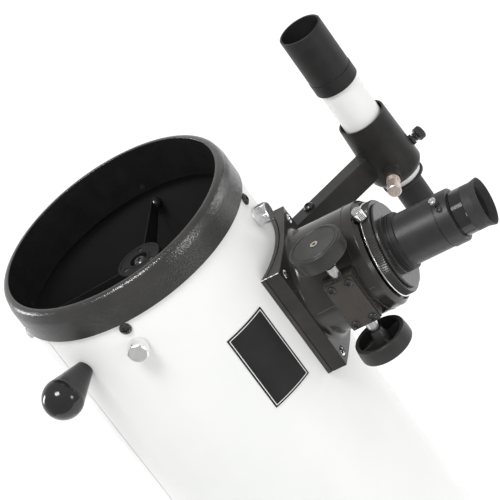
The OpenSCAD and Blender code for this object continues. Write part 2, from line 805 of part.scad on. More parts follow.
module spider_nuts() {
    color("silver") for (angle = ring_screw_angles) outward(angle, spider_z) translate([0, 0, tube_r])
        difference() {
            bevelled(spider_nut_d / 2, spider_nut_h, edge_bevel);
            translate([0, 0, -cut])
                cylinder(d = stud_d + 2 * seat_gap, h = spider_nut_h - nut_end_t + cut + seat_gap);
        }
}

module spider_hub() {
    color("dimgray") difference() {
        translate([0, 0, hub_z]) cylinder(r = hub_r, h = hub_len);
        translate([0, 0, hub_top - bolt_recess]) cylinder(d = bolt_recess_d, h = bolt_recess + cut);
        translate([0, 0, hub_z - cut]) cylinder(d = bolt_d + 2 * seat_gap, h = hub_len + 2 * cut);
        for (angle = cell_angles) rotate([0, 0, angle]) translate([coll_screw_circle_r, 0, hub_z - cut])
            cylinder(d = coll_screw_d + 2 * seat_gap, h = hub_len + 2 * cut);
    }
}

// The secondary's face crosses the focuser's axis at 45 degrees
module secondary_slab(from, thickness) {
    translate([0, 0, foc_z]) rotate([0, 135, 0])
        translate([-2 * secondary_d, -secondary_d, -from - thickness])
            cube([4 * secondary_d, 2 * secondary_d, thickness]);
}

module secondary_holder() {
    color("black") difference() {
        translate([0, 0, foc_z - secondary_d])
            cylinder(r = secondary_r, h = holder_top - foc_z + secondary_d);
        secondary_slab(-4 * secondary_d, 4 * secondary_d + secondary_t + seat_gap);
        translate([0, 0, holder_top - bolt_bite - cut])
            cylinder(d = bolt_d + 2 * run_gap, h = bolt_bite + 2 * cut);
    }
}

module secondary_mirror() {
    color("lightcyan") intersection() {
        translate([0, 0, foc_z - 2 * secondary_d]) cylinder(r = secondary_r, h = 4 * secondary_d);
        secondary_slab(0, secondary_t);
    }
}

module secondary_screws() {
    bolt_len = hub_top - bolt_recess - holder_top + bolt_bite;
    color("silver") {
        translate([0, 0, hub_top - bolt_recess])
            pan_screw(bolt_head_d, bolt_recess - bolt_sunk, bolt_d, bolt_len);
        for (angle = cell_angles) rotate([0, 0, angle])
            translate([coll_screw_circle_r, 0, holder_top + free_gap])
                cylinder(d = coll_screw_d, h = hub_top - holder_top - free_gap - 2 * bolt_sunk);
    }
}

// The four base screws' places, Z along the focuser with 0 under the heads
module base_screw_places() {
    dz = base_len / 2 - base_screw_inset;
    for (y = [-base_screw_y, base_screw_y], z = [-dz, dz])
        translate([flange_x - flange_drop, y, base_z + z]) rotate([0, 90, 0]) children();
}

module base_block(x0, x1) {
    translate([x0, -base_w / 2, base_z - base_len / 2]) cube([x1 - x0, base_w, base_len]);
}

module focuser_saddle() {
    color("dimgray") difference() {
        intersection() {
            base_block(tube_r / 2, saddle_r);
            tube_solid(saddle_r);
        }
        tube_solid(tube_r);
        on_focuser() cylinder(r = port_r, h = saddle_r + cut);
        base_screw_places() translate([0, 0, -base_screw_reach])
            cylinder(d = ring_screw_d + 2 * fit_gap, h = base_screw_reach + cut);
    }
}

module focuser_housing() {
    block_x = pinion_x - cover_w / 2 - block_margin;
    color("dimgray") difference() {
        union() {
            intersection() {
                base_block(tube_r / 2, flange_x);
                translate([flange_x - crown_r, 0, 0]) tube_solid(crown_r);
            }
            on_focuser() translate([0, 0, tube_r / 2]) {
                cylinder(r = drum_r, h = drum_x - drum_edge_r - tube_r / 2);
                translate([0, 0, drum_x - drum_edge_r - tube_r / 2]) rotate_extrude() {
                    square([drum_r - drum_edge_r, drum_edge_r]);
                    intersection() {
                        translate([drum_r - drum_edge_r, 0]) circle(r = drum_edge_r);
                        translate([drum_r - drum_edge_r, 0]) square(drum_edge_r);
                    }
                }
            }
            translate([block_x, -block_v, foc_z - cover_len / 2])
                cube([cover_w + 2 * block_margin, block_v, cover_len]);
        }
        tube_solid(saddle_r);
        on_focuser() cylinder(r = drawtube_r + run_gap, h = drum_x + cut);
        translate([0, -keyway_v, foc_z - keyway_w / 2]) cube([drum_x + cut, keyway_v, keyway_w]);
        on_pinion() {
            translate([0, 0, -bush_in]) cylinder(r = shaft_r + free_gap, h = 2 * bush_in);
            translate([0, 0, -keyway_w / 2]) {
                cylinder(r = pinion_tip_r + free_gap, h = keyway_w);
                translate([-pinion_tip_r - free_gap, -pinion_tip_r - cut, 0])
                    cube([2 * (pinion_tip_r + free_gap), pinion_tip_r + cut, keyway_w]);
            }
            for (side = [0, 180]) rotate([side, 0, 0]) translate([0, 0, bush_in])
                cylinder(d = bush_d + 2 * seat_gap, h = bush_reach);
        }
        base_screw_places() translate([0, 0, -flange_h - saddle_t])
            cylinder(d = ring_screw_d + 2 * seat_gap, h = flange_h + saddle_t + 2 * cut);
        base_screw_places() translate([0, 0, -base_screw_sink])
            cylinder(d = base_screw_head_d + 2 * base_screw_sink, h = flange_h);
        cover_screw_places() translate([0, 0, -cover_screw_len])
            cylinder(d = cover_screw_d + 2 * seat_gap, h = cover_screw_len + cut);
    }
}

module focuser_base_screws() {
    color("silver") base_screw_places() translate([0, 0, seat_gap - base_screw_sink])
        pan_screw(base_screw_head_d, base_screw_head_h, ring_screw_d, flange_h + saddle_t);
}

module cover_screw_places() {
    dx = cover_w / 2 - cover_screw_inset;
    dz = cover_len / 2 - cover_screw_inset;
    for (x = [-dx, dx], z = [-dz, dz])
        translate([pinion_x + x, -block_v, foc_z + z]) rotate([90, 0, 0]) children();
}

module pinion_cover() {
    color("dimgray") difference() {
        translate([pinion_x - cover_w / 2, -block_v - cover_t, foc_z - cover_len / 2])
            cube([cover_w, cover_t, cover_len]);
        cover_screw_places() translate([0, 0, -cut])
            cylinder(d = cover_screw_d + 2 * fit_gap, h = cover_t + 2 * cut);
    }
}

module pinion_cover_screws() {
    color("black") cover_screw_places() translate([0, 0, cover_t])
        pan_screw(cover_screw_head_d, cover_screw_head_h, cover_screw_d, cover_screw_len);
}

module pinion_bushes() {
    color("silver") on_pinion() for (side = [0, 180]) rotate([side, 0, 0]) translate([0, 0, bush_in])
        ring_pipe(bush_d / 2, shaft_r + run_gap, bush_reach - bush_in);
}

// A tooth's flank follows the involute of the pinion's base circle
base_r = pitch_r * cos(pressure);
function involute_turn(r) = let (t = sqrt(max(0, r * r / base_r / base_r - 1))) t * 180 / PI - atan(t);
function half_tooth(r) = 90 / pinion_teeth - tooth_thin * 90 / (PI * pitch_r)
    + involute_turn(pitch_r) - involute_turn(max(r, base_r));
flank_steps = 4;
flank_r = [for (i = [0 : flank_steps]) base_r + (pinion_tip_r - base_r) * i / flank_steps];
tooth_side = concat([[pinion_root_r, half_tooth(base_r)]], [for (r = flank_r) [r, half_tooth(r)]]);
pinion_outline = [for (tooth = [0 : pinion_teeth - 1], side = [-1, 1], i = [0 : flank_steps + 1])
    let (p = tooth_side[side < 0 ? i : flank_steps + 1 - i],
         a = 90 + 360 * tooth / pinion_teeth + side * p[1])
    p[0] * [cos(a), sin(a)]];

module pinion_shaft() {
    color("goldenrod") on_pinion() {
        translate([0, 0, -rear_knob_reach]) cylinder(r = shaft_r, h = knob_reach + rear_knob_reach);
        translate([0, 0, -rack_w / 2]) linear_extrude(rack_w) polygon(pinion_outline);
    }
}

// A focus knob with its hollow side towards the focuser, Z outward along the shaft
module focus_knob(reach) {
    knob_r = knob_d / 2;
    knob_back = reach - knob_h;
    color("black") difference() {
        union() {
            translate([0, 0, knob_back]) cylinder(r1 = knob_r - knob_taper, r2 = knob_r, h = knob_h / 2);
            translate([0, 0, knob_back + knob_h / 2]) cylinder(r = knob_r, h = knob_h / 2 - knob_bevel);
            translate([0, 0, reach - knob_bevel])
                cylinder(r1 = knob_r, r2 = knob_r - knob_bevel, h = knob_bevel);
        }
        difference() {
            translate([0, 0, knob_back - cut])
                cylinder(r = knob_r - knob_rim_t - knob_taper, h = knob_h - knob_face_t + cut);
            cylinder(d = knob_hub_d, h = reach);
            for (turn = [0, 90]) rotate([0, 0, turn])
                translate([-knob_r, -spoke_t / 2, knob_back + spoke_t]) cube([2 * knob_r, spoke_t, knob_h]);
        }
        translate([0, 0, knob_back - cut]) cylinder(r = shaft_r + seat_gap, h = knob_h + 2 * cut);
        translate([0, 0, reach - face_groove_depth])
            ring_pipe(knob_r - face_groove_in, knob_r - face_groove_in - face_groove_w, cut);
    }
    color("black") translate([0, 0, bush_reach + free_gap])
        ring_pipe(knob_hub_d / 2, shaft_r + seat_gap, knob_back - bush_reach - free_gap + eps);
}

module focus_knob_front() { on_pinion() focus_knob(knob_reach); }
module focus_knob_rear() { on_pinion() rotate([180, 0, 0]) focus_knob(rear_knob_reach); }

module drawtube() {
    color("dimgray") difference() {
        on_focuser() translate([0, 0, draw_tail_x]) ring_pipe(drawtube_r, drawtube_bore_r, drawtube_len);
        focuser_radial(clamp_screw_angle, clamp_screw_x)
            cylinder(d = clamp_screw_d + 2 * run_gap, h = drawtube_r + cut);
    }
}

module drawtube_rack() {
    pitch = PI * gear_module;
    half_top = pitch / 4 - rack_tooth_up * tan(pressure) - tooth_thin / 2;
    half_root = pitch / 4 + rack_tooth_down * tan(pressure) - tooth_thin / 2;
    first = pinion_x + pitch / 2 + pitch * floor((rack_x0 - pinion_x) / pitch + 0.9);
    last = floor((rack_x1 - first) / pitch - 0.4);
    root_y = rack_pitch_r - rack_tooth_down;
    color("goldenrod") difference() {
        translate([0, 0, foc_z - rack_w / 2]) linear_extrude(rack_w) mirror([0, 1]) polygon(concat(
            [[rack_x1, 0], [rack_x0, 0], [rack_x0, root_y]],
            [for (i = [0 : last], p = [[-half_root, -rack_tooth_down], [-half_top, rack_tooth_up],
                [half_top, rack_tooth_up], [half_root, -rack_tooth_down]])
                [first + i * pitch + p[0], rack_pitch_r + p[1]]],
            [[rack_x1, root_y]]));
        on_focuser() cylinder(r = drawtube_r, h = draw_end_x);
    }
}

module drawtube_trim_ring() {
    color("silver") on_focuser() translate([0, 0, trim_x])
        ring_pipe(trim_d / 2, drawtube_r + seat_gap, trim_t);
}

module drawtube_clamp_ring() {
    lip_r = step_a_d / 2 + free_gap;
    color("dimgray") difference() {
        on_focuser() translate([0, 0, clamp_ring_x]) {
            ring_pipe(clamp_ring_d / 2, drawtube_r + seat_gap, clamp_ring_h - clamp_lip_t + eps);
            translate([0, 0, clamp_ring_h - clamp_lip_t])
                ring_pipe(clamp_ring_d / 2, adapter_barrel_d / 2 + run_gap, clamp_lip_t);
        }
        on_focuser() translate([0, 0, draw_end_x - clamp_lip_t / 2])
            ring_pipe(drawtube_r + lip_groove, lip_r, clamp_lip_t);
        focuser_radial(clamp_screw_angle, clamp_screw_x)
            cylinder(d = clamp_screw_d + 2 * run_gap, h = clamp_ring_d);
    }
}

// A thumbscrew along Z: a plain shank from start to the head and a bevelled head
module thumbscrew(shank_d, start, head_start, head_d, head_h) {
    translate([0, 0, start]) cylinder(d = shank_d, h = head_start - start + eps);
    translate([0, 0, head_start]) bevelled(head_d / 2, head_h, head_h * head_bevel);
}

module drawtube_clamp_screw() {
    color("silver") focuser_radial(clamp_screw_angle, clamp_screw_x)
        thumbscrew(clamp_screw_d, adapter_barrel_d / 2 + free_gap, trim_d / 2 + free_gap,
            clamp_head_d, clamp_head_h);
}

module eyepiece_adapter() {
    color("dimgray") difference() {
        on_focuser() {
            translate([0, 0, adapter_tail_x]) cylinder(d = adapter_barrel_d, h = adapter_barrel_len + eps);
            translate([0, 0, draw_end_x]) cylinder(d = step_a_d, h = step_a_h + eps);
            translate([0, 0, step_b_x]) cylinder(d = step_b_d, h = step_b_h + eps);
            translate([0, 0, step_c_x]) cylinder(d = step_c_d, h = step_c_h + eps);
            translate([0, 0, neck_x]) cylinder(d = neck_d, h = neck_len + eps);
            translate([0, 0, collar_x + collar_groove])
                bevelled(collar_d / 2, collar_len - collar_groove, edge_bevel);
            translate([0, 0, collar_x - eps])
                cylinder(d = neck_d - collar_groove, h = collar_groove + 2 * eps);
        }
        on_focuser() translate([0, 0, adapter_tail_x - cut]) cylinder(r = adapter_bore_r, h = draw_end_x);
        focuser_radial(eyepiece_screw_angle, eyepiece_screw_x)
            cylinder(d = eyepiece_screw_d + 2 * run_gap, h = collar_d);
        focuser_radial(set_screw_angle, set_screw_x)
            cylinder(d = eyepiece_screw_d + 2 * seat_gap, h = collar_d);
    }
}

module eyepiece_clamp_screw() {
    color("silver") focuser_radial(eyepiece_screw_angle, eyepiece_screw_x)
        thumbscrew(eyepiece_screw_d, eyepiece_barrel_d / 2 + free_gap, collar_d / 2 + free_gap,
            eyepiece_screw_head_d, eyepiece_screw_head_h);
}

module adapter_set_screw() {
    color("black") focuser_radial(set_screw_angle, set_screw_x)
        thumbscrew(eyepiece_screw_d, eyepiece_barrel_d / 2 + free_gap, collar_d / 2 + seat_gap,
            set_screw_head_d, set_screw_head_h);
}

module eyepiece_barrel() {
    color("silver") on_focuser() translate([0, 0, adapter_end_x - eyepiece_barrel_len])
        ring_pipe(eyepiece_barrel_d / 2, eyepiece_barrel_d / 2 - barrel_wall, eyepiece_barrel_len);
}

module eyepiece_body() {
    color("black") on_focuser() translate([0, 0, adapter_end_x]) difference() {
        cylinder(d = eyepiece_body_d, h = eyepiece_body_len);
        translate([0, 0, -cut]) cylinder(r = lens_r, h = eyepiece_body_len + 2 * cut);
    }
}

module eyecup() {
    straight = eyecup_len - cup_flare_h;
    rim_r = eyecup_rim_d / 2;
    body_r = eyepiece_body_d / 2 - fit_gap;
    color("black") on_focuser() translate([0, 0, cup_x]) rotate_extrude()
        polygon([[lens_r, 0], [body_r, 0], [body_r, straight], [rim_r, eyecup_len],
            [rim_r - eyecup_t, eyecup_len], [body_r - eyecup_t, straight],
            [body_r - eyecup_t, straight / 2], [lens_r, eyecup_t]]);
}

module eyepiece_lenses() {
    color("lightcyan") on_focuser() {
        translate([0, 0, cup_x - lens_t]) cylinder(r = lens_r - seat_gap, h = lens_t);
        translate([0, 0, adapter_end_x - eyepiece_barrel_len / 2])
            cylinder(r = eyepiece_barrel_d / 2 - barrel_wall - seat_gap, h = lens_t);
    }
}

// The dovetail's outline across the shoe, wider at its base by the lean on each side
module dovetail(extra) {
    top = shoe_top_r + cut - foot_r0;
    lean = foot_lean * top / (shoe_top_r - foot_r0);
    polygon([[foot_r0 - extra, -foot_w / 2 - extra], [foot_r0 - extra, foot_w / 2 + extra],
        [foot_r0 + top, foot_w / 2 + extra - lean], [foot_r0 + top, -foot_w / 2 - extra + lean]]);
}

module finder_shoe() {
    color("black") on_finder() difference() {
        translate([tube_r / 2, -shoe_w / 2, shoe_z - shoe_len / 2])
            cube([shoe_top_r - tube_r / 2, shoe_w, shoe_len]);
        tube_solid(tube_r);
        translate([0, 0, shoe_z - shoe_len / 2 + shoe_end_t]) linear_extrude(shoe_len) dovetail(free_gap);
        translate([shoe_screw_r, 0, shoe_z]) rotate([-90, 0, 0])
            cylinder(d = shoe_screw_d + 2 * run_gap, h = shoe_w);
        for (z = [-shoe_bolt_dz, shoe_bolt_dz]) translate([tube_r / 2, 0, shoe_z + z]) rotate([0, 90, 0])
            cylinder(r = bolt_r + seat_gap, h = tube_r);
    }
}

module finder_shoe_clamp_screw() {
    color("black") on_finder() translate([shoe_screw_r, 0, shoe_z]) rotate([-90, 0, 0])
        thumbscrew(shoe_screw_d, foot_w / 2 + free_gap, shoe_w / 2 + edge_bevel,
            shoe_screw_head_d, shoe_screw_head_h);
}

// Cuts a piece back to the finder ring's wall, so that it ends inside the wall
module outside_finder_ring() {
    difference() {
        children();
        translate([finder_r, 0, ring_z0 - cut])
            cylinder(d = finder_ring_bore + ring_bite, h = finder_ring_len + 2 * cut);
    }
}

module finder_bracket() {
    foot_z = shoe_z - shoe_len / 2 + shoe_end_t + free_gap;
    color("dimgray") on_finder() difference() {
        union() {
            intersection() {
                translate([0, 0, foot_z]) linear_extrude(foot_len) dovetail(0);
                translate([0, -shoe_w, foot_z]) cube([shoe_top_r, 2 * shoe_w, foot_len]);
            }
            outside_finder_ring() translate([shoe_top_r - eps, -stalk_w / 2, stalk_z0])
                cube([finder_r - shoe_top_r, stalk_w, stalk_len]);
            translate([finder_r, 0, ring_z0]) difference() {
                union() {
                    translate([0, 0, ring_round])
                        cylinder(d1 = finder_ring_d2, d2 = finder_ring_d1,
                            h = finder_ring_len - ring_round);
                    cylinder(d1 = finder_ring_d2 - ring_round, d2 = finder_ring_d2, h = ring_round);
                }
                translate([0, 0, -cut]) cylinder(d = finder_ring_bore, h = finder_ring_len + 2 * cut);
            }
            outside_finder_ring() translate([finder_r, 0, align_z]) rotate([0, 0, plunger_angle])
                rotate([0, 90, 0]) cylinder(d = plunger_boss_d, h = plunger_boss_out);
        }
        for (angle = align_angles)
            translate([finder_r, 0, align_z]) rotate([0, 0, angle]) rotate([0, 90, 0])
                cylinder(d = align_d + 2 * run_gap, h = finder_ring_d2);
        translate([finder_r, 0, align_z]) rotate([0, 0, plunger_angle]) rotate([0, 90, 0])
            cylinder(d = plunger_d + 2 * seat_gap, h = plunger_out);
        arm_screw_place() translate([0, 0, -arm_screw_len])
            cylinder(d = arm_screw_d + 2 * seat_gap, h = arm_screw_len + cut);
    }
}

module arm_screw_place() {
    translate([shoe_top_r + arm_screw_h, 0, stalk_z0 + stalk_len]) children();
}

module finder_arm_screw() {
    color("black") on_finder() arm_screw_place() translate([0, 0, seat_gap])
        pan_screw(arm_screw_head_d, arm_screw_head_h, arm_screw_d, arm_screw_len);
}

module finder_thumbscrew(angle) {
    color("black") finder_radial(angle) {
        thumbscrew(align_d, finder_tube_r + free_gap, align_out, align_head_d, align_head_h);
        translate([0, 0, align_out - align_neck_h]) cylinder(d = align_neck_d, h = align_neck_t);
    }
}

module finder_thumbscrew_a() { finder_thumbscrew(align_angles[0]); }
module finder_thumbscrew_b() { finder_thumbscrew(align_angles[1]); }

module finder_locknuts() {
    color("black") for (angle = align_angles) finder_radial(angle)
        translate([0, 0, ring_wall_out + locknut_gap]) difference() {
            cylinder(d = locknut_d, h = locknut_t, $fn = 6);
            translate([0, 0, -cut]) cylinder(d = align_d + 2 * run_gap, h = locknut_t + 2 * cut);
        }
}

module finder_plunger_barrel() {
    barrel_in = finder_ring_bore / 2 + free_gap;
    color("silver") finder_radial(plunger_angle) translate([0, 0, barrel_in]) difference() {
        bevelled(plunger_d / 2, plunger_out - barrel_in, edge_bevel);
        translate([0, 0, -cut])
            cylinder(d = plunger_pin_d + 2 * run_gap, h = plunger_out - barrel_in - plunger_end_t + cut);
    }
}

module finder_plunger_pin() {
    color("silver") finder_radial(plunger_angle) translate([0, 0, finder_tube_r + free_gap])
        cylinder(d = plunger_pin_d,
            h = plunger_out - plunger_end_t - plunger_travel - finder_tube_r - 2 * free_gap);
}

module finder_tube() {
    color("whitesmoke") on_finder() translate([finder_r, 0, finder_tube_z0])
        ring_pipe(finder_tube_r, finder_tube_r - finder_wall, finder_tube_z1 - finder_tube_z0);
}

module finder_o_ring() {
    color("black") on_finder() translate([finder_r, 0, o_ring_z]) rotate_extrude()
        translate([(finder_ring_bore / 2 + finder_tube_r) / 2, 0]) circle(r = o_ring_r, $fn = 32);
}

module finder_dew_shield() {
    sleeve_in = finder_tube_r + run_gap;
    color("dimgray") on_finder() translate([finder_r, 0, dew_z0]) difference() {
        cylinder(d = dew_d, h = dew_len);
        translate([0, 0, -cut]) cylinder(r = sleeve_in, h = dew_len + 2 * cut);
    }
}

module finder_lock_ring() {
    color("dimgray") on_finder() translate([finder_r, 0, lock_ring_z])
        ring_pipe(lock_ring_d / 2, finder_tube_r + run_gap, lock_ring_len);
}

module finder_objective() {
    color("lightcyan") on_finder() translate([finder_r, 0, objective_z])
        cylinder(r = finder_tube_r + run_gap - seat_gap, h = objective_t);
}

module finder_eyepiece() {
    eye_r = finder_eye_d / 2;
    plug_r = finder_tube_r - finder_wall - seat_gap;
    tube_h = finder_eye_len - finder_cup_len;
    color("black") on_finder() translate([finder_r, 0, finder_tube_z0]) rotate([180, 0, 0]) difference() {
        union() {
            translate([0, 0, -finder_plug_len]) cylinder(r = plug_r, h = finder_plug_len + eps);
            cylinder(r = finder_tube_r + finder_cap_rim, h = finder_cap_t);
            cylinder(r = eye_r, h = tube_h + eps);
            translate([0, 0, tube_h]) cylinder(r1 = eye_r, r2 = eye_r + finder_cap_rim, h = finder_cup_len);
        }
        translate([0, 0, -finder_plug_len - cut])
            cylinder(r = finder_eye_hole_r, h = finder_eye_len + finder_plug_len + 2 * cut);
    }
}

module finder_eye_lens() {
    lens_z = finder_tube_z0 - finder_eye_len + finder_cup_len / 2;
    color("lightcyan") on_finder() translate([finder_r, 0, lens_z])
        cylinder(r = finder_eye_hole_r - seat_gap, h = lens_t);
}

// The handle's cone meets its ball where the ball is still narrowing towards the tube
module guide_handle() {
    ball_r = handle_ball_d / 2;
    cone_r = sqrt(ball_r * ball_r - handle_meet * handle_meet);
    color("black") difference() {
        outward(handle_angle, handle_z) {
            translate([0, 0, tube_r - handle_sink]) cylinder(d = handle_base_d, h = handle_sink + eps);
            translate([0, 0, tube_r])
                cylinder(r1 = handle_base_d / 2, r2 = cone_r, h = handle_ball_h - handle_meet);
            translate([0, 0, tube_r + handle_ball_h]) sphere(r = ball_r);
        }
        tube_solid(tube_r);
        outward(handle_angle, handle_z) cylinder(r = bolt_r + seat_gap, h = bore_r + handle_bolt_len);
    }
}

// The bolts that come out through the tube wall, Z outward with 0 at the wall's inside
module bolt_places() {
    outward(handle_angle, handle_z) translate([0, 0, bore_r]) children();
    for (turn = hub_bolt_turn)
        outward(altitude_angle + turn, altitude_z) translate([0, 0, bore_r]) children();
    for (z = [-shoe_bolt_dz, shoe_bolt_dz])
        outward(finder_angle, shoe_z + z) translate([0, 0, bore_r]) children();
}

module tube_bolt(length) {
    translate([0, 0, bore_r - free_gap]) rotate([180, 0, 0])
        pan_screw(2 * bolt_cap_r, bolt_cap_h, 2 * bolt_r, length);
}

module tube_bolts() {
    color("black") {
        outward(handle_angle, handle_z) tube_bolt(handle_bolt_len);
        for (turn = hub_bolt_turn) outward(altitude_angle + turn, altitude_z) tube_bolt(hub_bolt_len);
        for (z = [-shoe_bolt_dz, shoe_bolt_dz]) outward(finder_angle, shoe_z + z) tube_bolt(shoe_bolt_len);
    }
}

module altitude_hubs() {
    color("dimgray") for (turn = hub_bolt_turn) difference() {
        outward(altitude_angle + turn, altitude_z) {
            translate([0, 0, tube_r / 2]) cylinder(d = altitude_base_d, h = tube_r / 2 + altitude_base_h);
            translate([0, 0, tube_r])
                bevelled(altitude_d / 2, altitude_base_h + altitude_len, 1.5 * edge_bevel);
        }
        tube_solid(tube_r);
        outward(altitude_angle + turn, altitude_z)
            cylinder(r = bolt_r + seat_gap, h = bore_r + hub_bolt_len);
    }
}

module label_plate() {
    half = label_w / tube_r * 90 / PI;
    color("black") rotate([0, 0, label_angle - half]) translate([0, 0, foc_z - label_len / 2])
        rotate_extrude(angle = 2 * half) translate([tube_r + seat_gap, 0]) square([label_t, label_len]);
}

main_tube();
front_ring();
rear_ring();
ring_screws();
cell_back_plate();
cell_plate_screws();
mirror_cell();
primary_mirror();
mirror_clips();
collimation_knob_a();
collimation_knob_b();
collimation_knob_c();
collimation_springs();
spider_vanes();
spider_nuts();
spider_hub();
secondary_holder();
secondary_mirror();
secondary_screws();
focuser_saddle();
focuser_housing();
focuser_base_screws();
pinion_cover();
pinion_cover_screws();
pinion_bushes();
pinion_shaft();
focus_knob_front();
focus_knob_rear();
drawtube();
drawtube_rack();
drawtube_trim_ring();
drawtube_clamp_ring();
drawtube_clamp_screw();
eyepiece_adapter();
eyepiece_clamp_screw();
adapter_set_screw();
eyepiece_barrel();
eyepiece_body();
eyecup();
eyepiece_lenses();
finder_shoe();
finder_shoe_clamp_screw();
finder_bracket();
finder_arm_screw();
finder_thumbscrew_a();
finder_thumbscrew_b();
finder_locknuts();
finder_plunger_barrel();
finder_plunger_pin();
finder_tube();
finder_o_ring();
finder_dew_shield();
finder_lock_ring();
finder_objective();
finder_eyepiece();
finder_eye_lens();
guide_handle();
tube_bolts();
altitude_hubs();
label_plate();
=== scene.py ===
"""Looks of a newtonian reflector telescope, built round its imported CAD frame.

Lengths are millimetres, and make_mesh() turns them into metres. Only the stage at the end is in
metres throughout. Angles are degrees unless a docstring says radians.
"""

import math

import bmesh
import bpy
from mathutils import Matrix, Vector


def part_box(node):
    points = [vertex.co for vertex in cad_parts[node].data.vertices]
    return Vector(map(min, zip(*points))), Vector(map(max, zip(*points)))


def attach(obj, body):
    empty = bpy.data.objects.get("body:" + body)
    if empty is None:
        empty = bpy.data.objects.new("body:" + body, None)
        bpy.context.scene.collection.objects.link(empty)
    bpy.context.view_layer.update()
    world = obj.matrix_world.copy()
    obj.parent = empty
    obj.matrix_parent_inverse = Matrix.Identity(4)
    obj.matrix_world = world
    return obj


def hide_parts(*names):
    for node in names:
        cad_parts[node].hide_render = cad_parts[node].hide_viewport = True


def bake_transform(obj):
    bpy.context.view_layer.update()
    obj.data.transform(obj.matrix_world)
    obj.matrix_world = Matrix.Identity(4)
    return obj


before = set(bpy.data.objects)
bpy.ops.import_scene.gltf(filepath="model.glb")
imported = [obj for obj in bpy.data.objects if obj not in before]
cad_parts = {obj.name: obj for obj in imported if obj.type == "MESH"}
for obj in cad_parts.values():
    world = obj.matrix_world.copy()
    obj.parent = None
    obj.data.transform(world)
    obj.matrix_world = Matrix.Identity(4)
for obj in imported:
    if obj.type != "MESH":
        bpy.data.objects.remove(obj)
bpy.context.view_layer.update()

MM = 0.001
TINY = 1e-6


# Sizes and places, taken from the frame


def span(node):
    """A CAD node's lowest and highest corner, in millimetres."""
    low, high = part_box(node)
    return low / MM, high / MM


def middle(node):
    """The middle of a CAD node's box, in millimetres."""
    low, high = span(node)
    return (low + high) / 2


def limits(node, axis):
    """A CAD node's lowest and highest place along one axis."""
    return [getattr(corner, axis) for corner in span(node)]


TUBE_R = span("main_tube")[1].x
TUBE_LOW, TUBE_TOP = limits("main_tube", "z")
TUBE_WALL = 0.8
FRONT = span("front_ring")[1].z
SLEEVE = TUBE_TOP - span("front_ring")[0].z
SLEEVE_R = TUBE_R - TUBE_WALL - 0.1
SLEEVE_T = 4
RING_R = span("front_ring")[1].x
FOCUS_Z = middle("drawtube").z
DRUM_X = span("focuser_housing")[1].x
DRUM_R = 40.5
BASE_W = span("focuser_saddle")[1].y
BASE_REAR, BASE_FRONT = limits("focuser_saddle", "z")
FLANGE_X = TUBE_R + 7.4
FLANGE_DROP = 2.4
DRAW_R = 30.02
CLAMP_TURN = 14
CLAMP_X = middle("drawtube_clamp_screw").x
COLLAR_R = 20.3
HUB_R = 17.5
HOLDER_SCREWS = {"eyepiece_clamp_screw": 20, "adapter_set_screw": 36}
SPIDER_Z = middle("spider_nuts").z
PINION = middle("pinion_shaft")
FINDER = middle("finder_tube")
FINDER_ANGLE = math.degrees(math.atan2(FINDER.y, FINDER.x))
ALIGN_Z = middle("finder_plunger_barrel").z
ALIGN_TURN = -3
KNOB_CIRCLE = 58
QUARTERS = (0, 90, 180, 270)
THIRDS = (90, 210, 330)


def place(origin, along, toward=(0, 0, 1)):
    """A frame at origin with Z along one direction and X turned towards another."""
    z = Vector(along).normalized()
    x = Vector(toward) - z * z.dot(Vector(toward))
    if x.length < TINY:
        x = z.orthogonal()
    x.normalize()
    made = Matrix((x, z.cross(x), z)).transposed().to_4x4()
    made.translation = Vector(origin)
    return made


def spin(angle, axis="Z"):
    """A turn about one axis."""
    return Matrix.Rotation(math.radians(angle), 4, axis)


def move(x, y=0, z=0):
    """A move along the axes."""
    return Matrix.Translation((x, y, z))


def polar(r, a, z=0.0):
    """A point at a radius and an angle in radians round Z."""
    return Vector((r * math.cos(a), r * math.sin(a), z))


def outward(angle, z, distance=0.0):
    """A frame on the tube's axis at a height, with Z pointing out at an angle round it."""
    way = polar(1, math.radians(angle))
    return place(Vector((0, 0, z)) + way * distance, way)


def on_focuser(x=0.0):
    """A frame on the focuser's axis at a distance from the tube's axis, Z outward."""
    return place((x, 0, FOCUS_Z), (1, 0, 0))


def focuser_radial(angle, x):
    """A frame whose Z leaves the focuser's axis, turned from the front to the pinion side."""
    a = math.radians(angle)
    return place((x, 0, FOCUS_Z), (0, -math.sin(a), math.cos(a)), (1, 0, 0))


def on_pinion(side):
    """A frame on the pinion shaft at the focuser's axis, Z to the front or to the rear."""
    return place((PINION.x, PINION.y, FOCUS_Z), (0, 0, side), (1, 0, 0))


def on_finder():
    """A frame on the finder's axis, Z to the sky and X away from the tube."""
    return place((FINDER.x, FINDER.y, 0), (0, 0, 1), (FINDER.x, FINDER.y, 0))


def on_holder(node):
    """A frame across the focuser's axis for one of the two screws that hold the eyepiece."""
    return focuser_radial(HOLDER_SCREWS[node], middle(node).x)


def finder_radial(turn):
    """A frame whose Z leaves the finder's axis at the alignment screws' height."""
    way = polar(1, math.radians(FINDER_ANGLE + turn))
    return place((FINDER.x, FINDER.y, ALIGN_Z), way)


# Mesh making


def rounded(points, closed=False, steps=5):
    """A path of (r, z) or (r, z, fillet) points with each fillet drawn as an arc."""
    path = []
    count = len(points)
    for i, point in enumerate(points):
        here = Vector(point[:2])
        fillet = point[2] if len(point) > 2 else 0
        if fillet == 0 or (not closed and i in (0, count - 1)):
            path.append(here)
            continue
        before = (Vector(points[i - 1][:2]) - here).normalized()
        after = (Vector(points[(i + 1) % count][:2]) - here).normalized()
        half = before.angle(after) / 2
        reach = fillet / math.tan(half)
        centre = here + (before + after).normalized() * (fillet / math.sin(half))
        start = here + before * reach - centre
        turn = start.angle_signed(here + after * reach - centre)
        for k in range(steps + 1):
            a = -turn * k / steps
            spun = Vector((start.x * math.cos(a) - start.y * math.sin(a),
                           start.x * math.sin(a) + start.y * math.cos(a)))
            path.append(centre + spun)
    return path


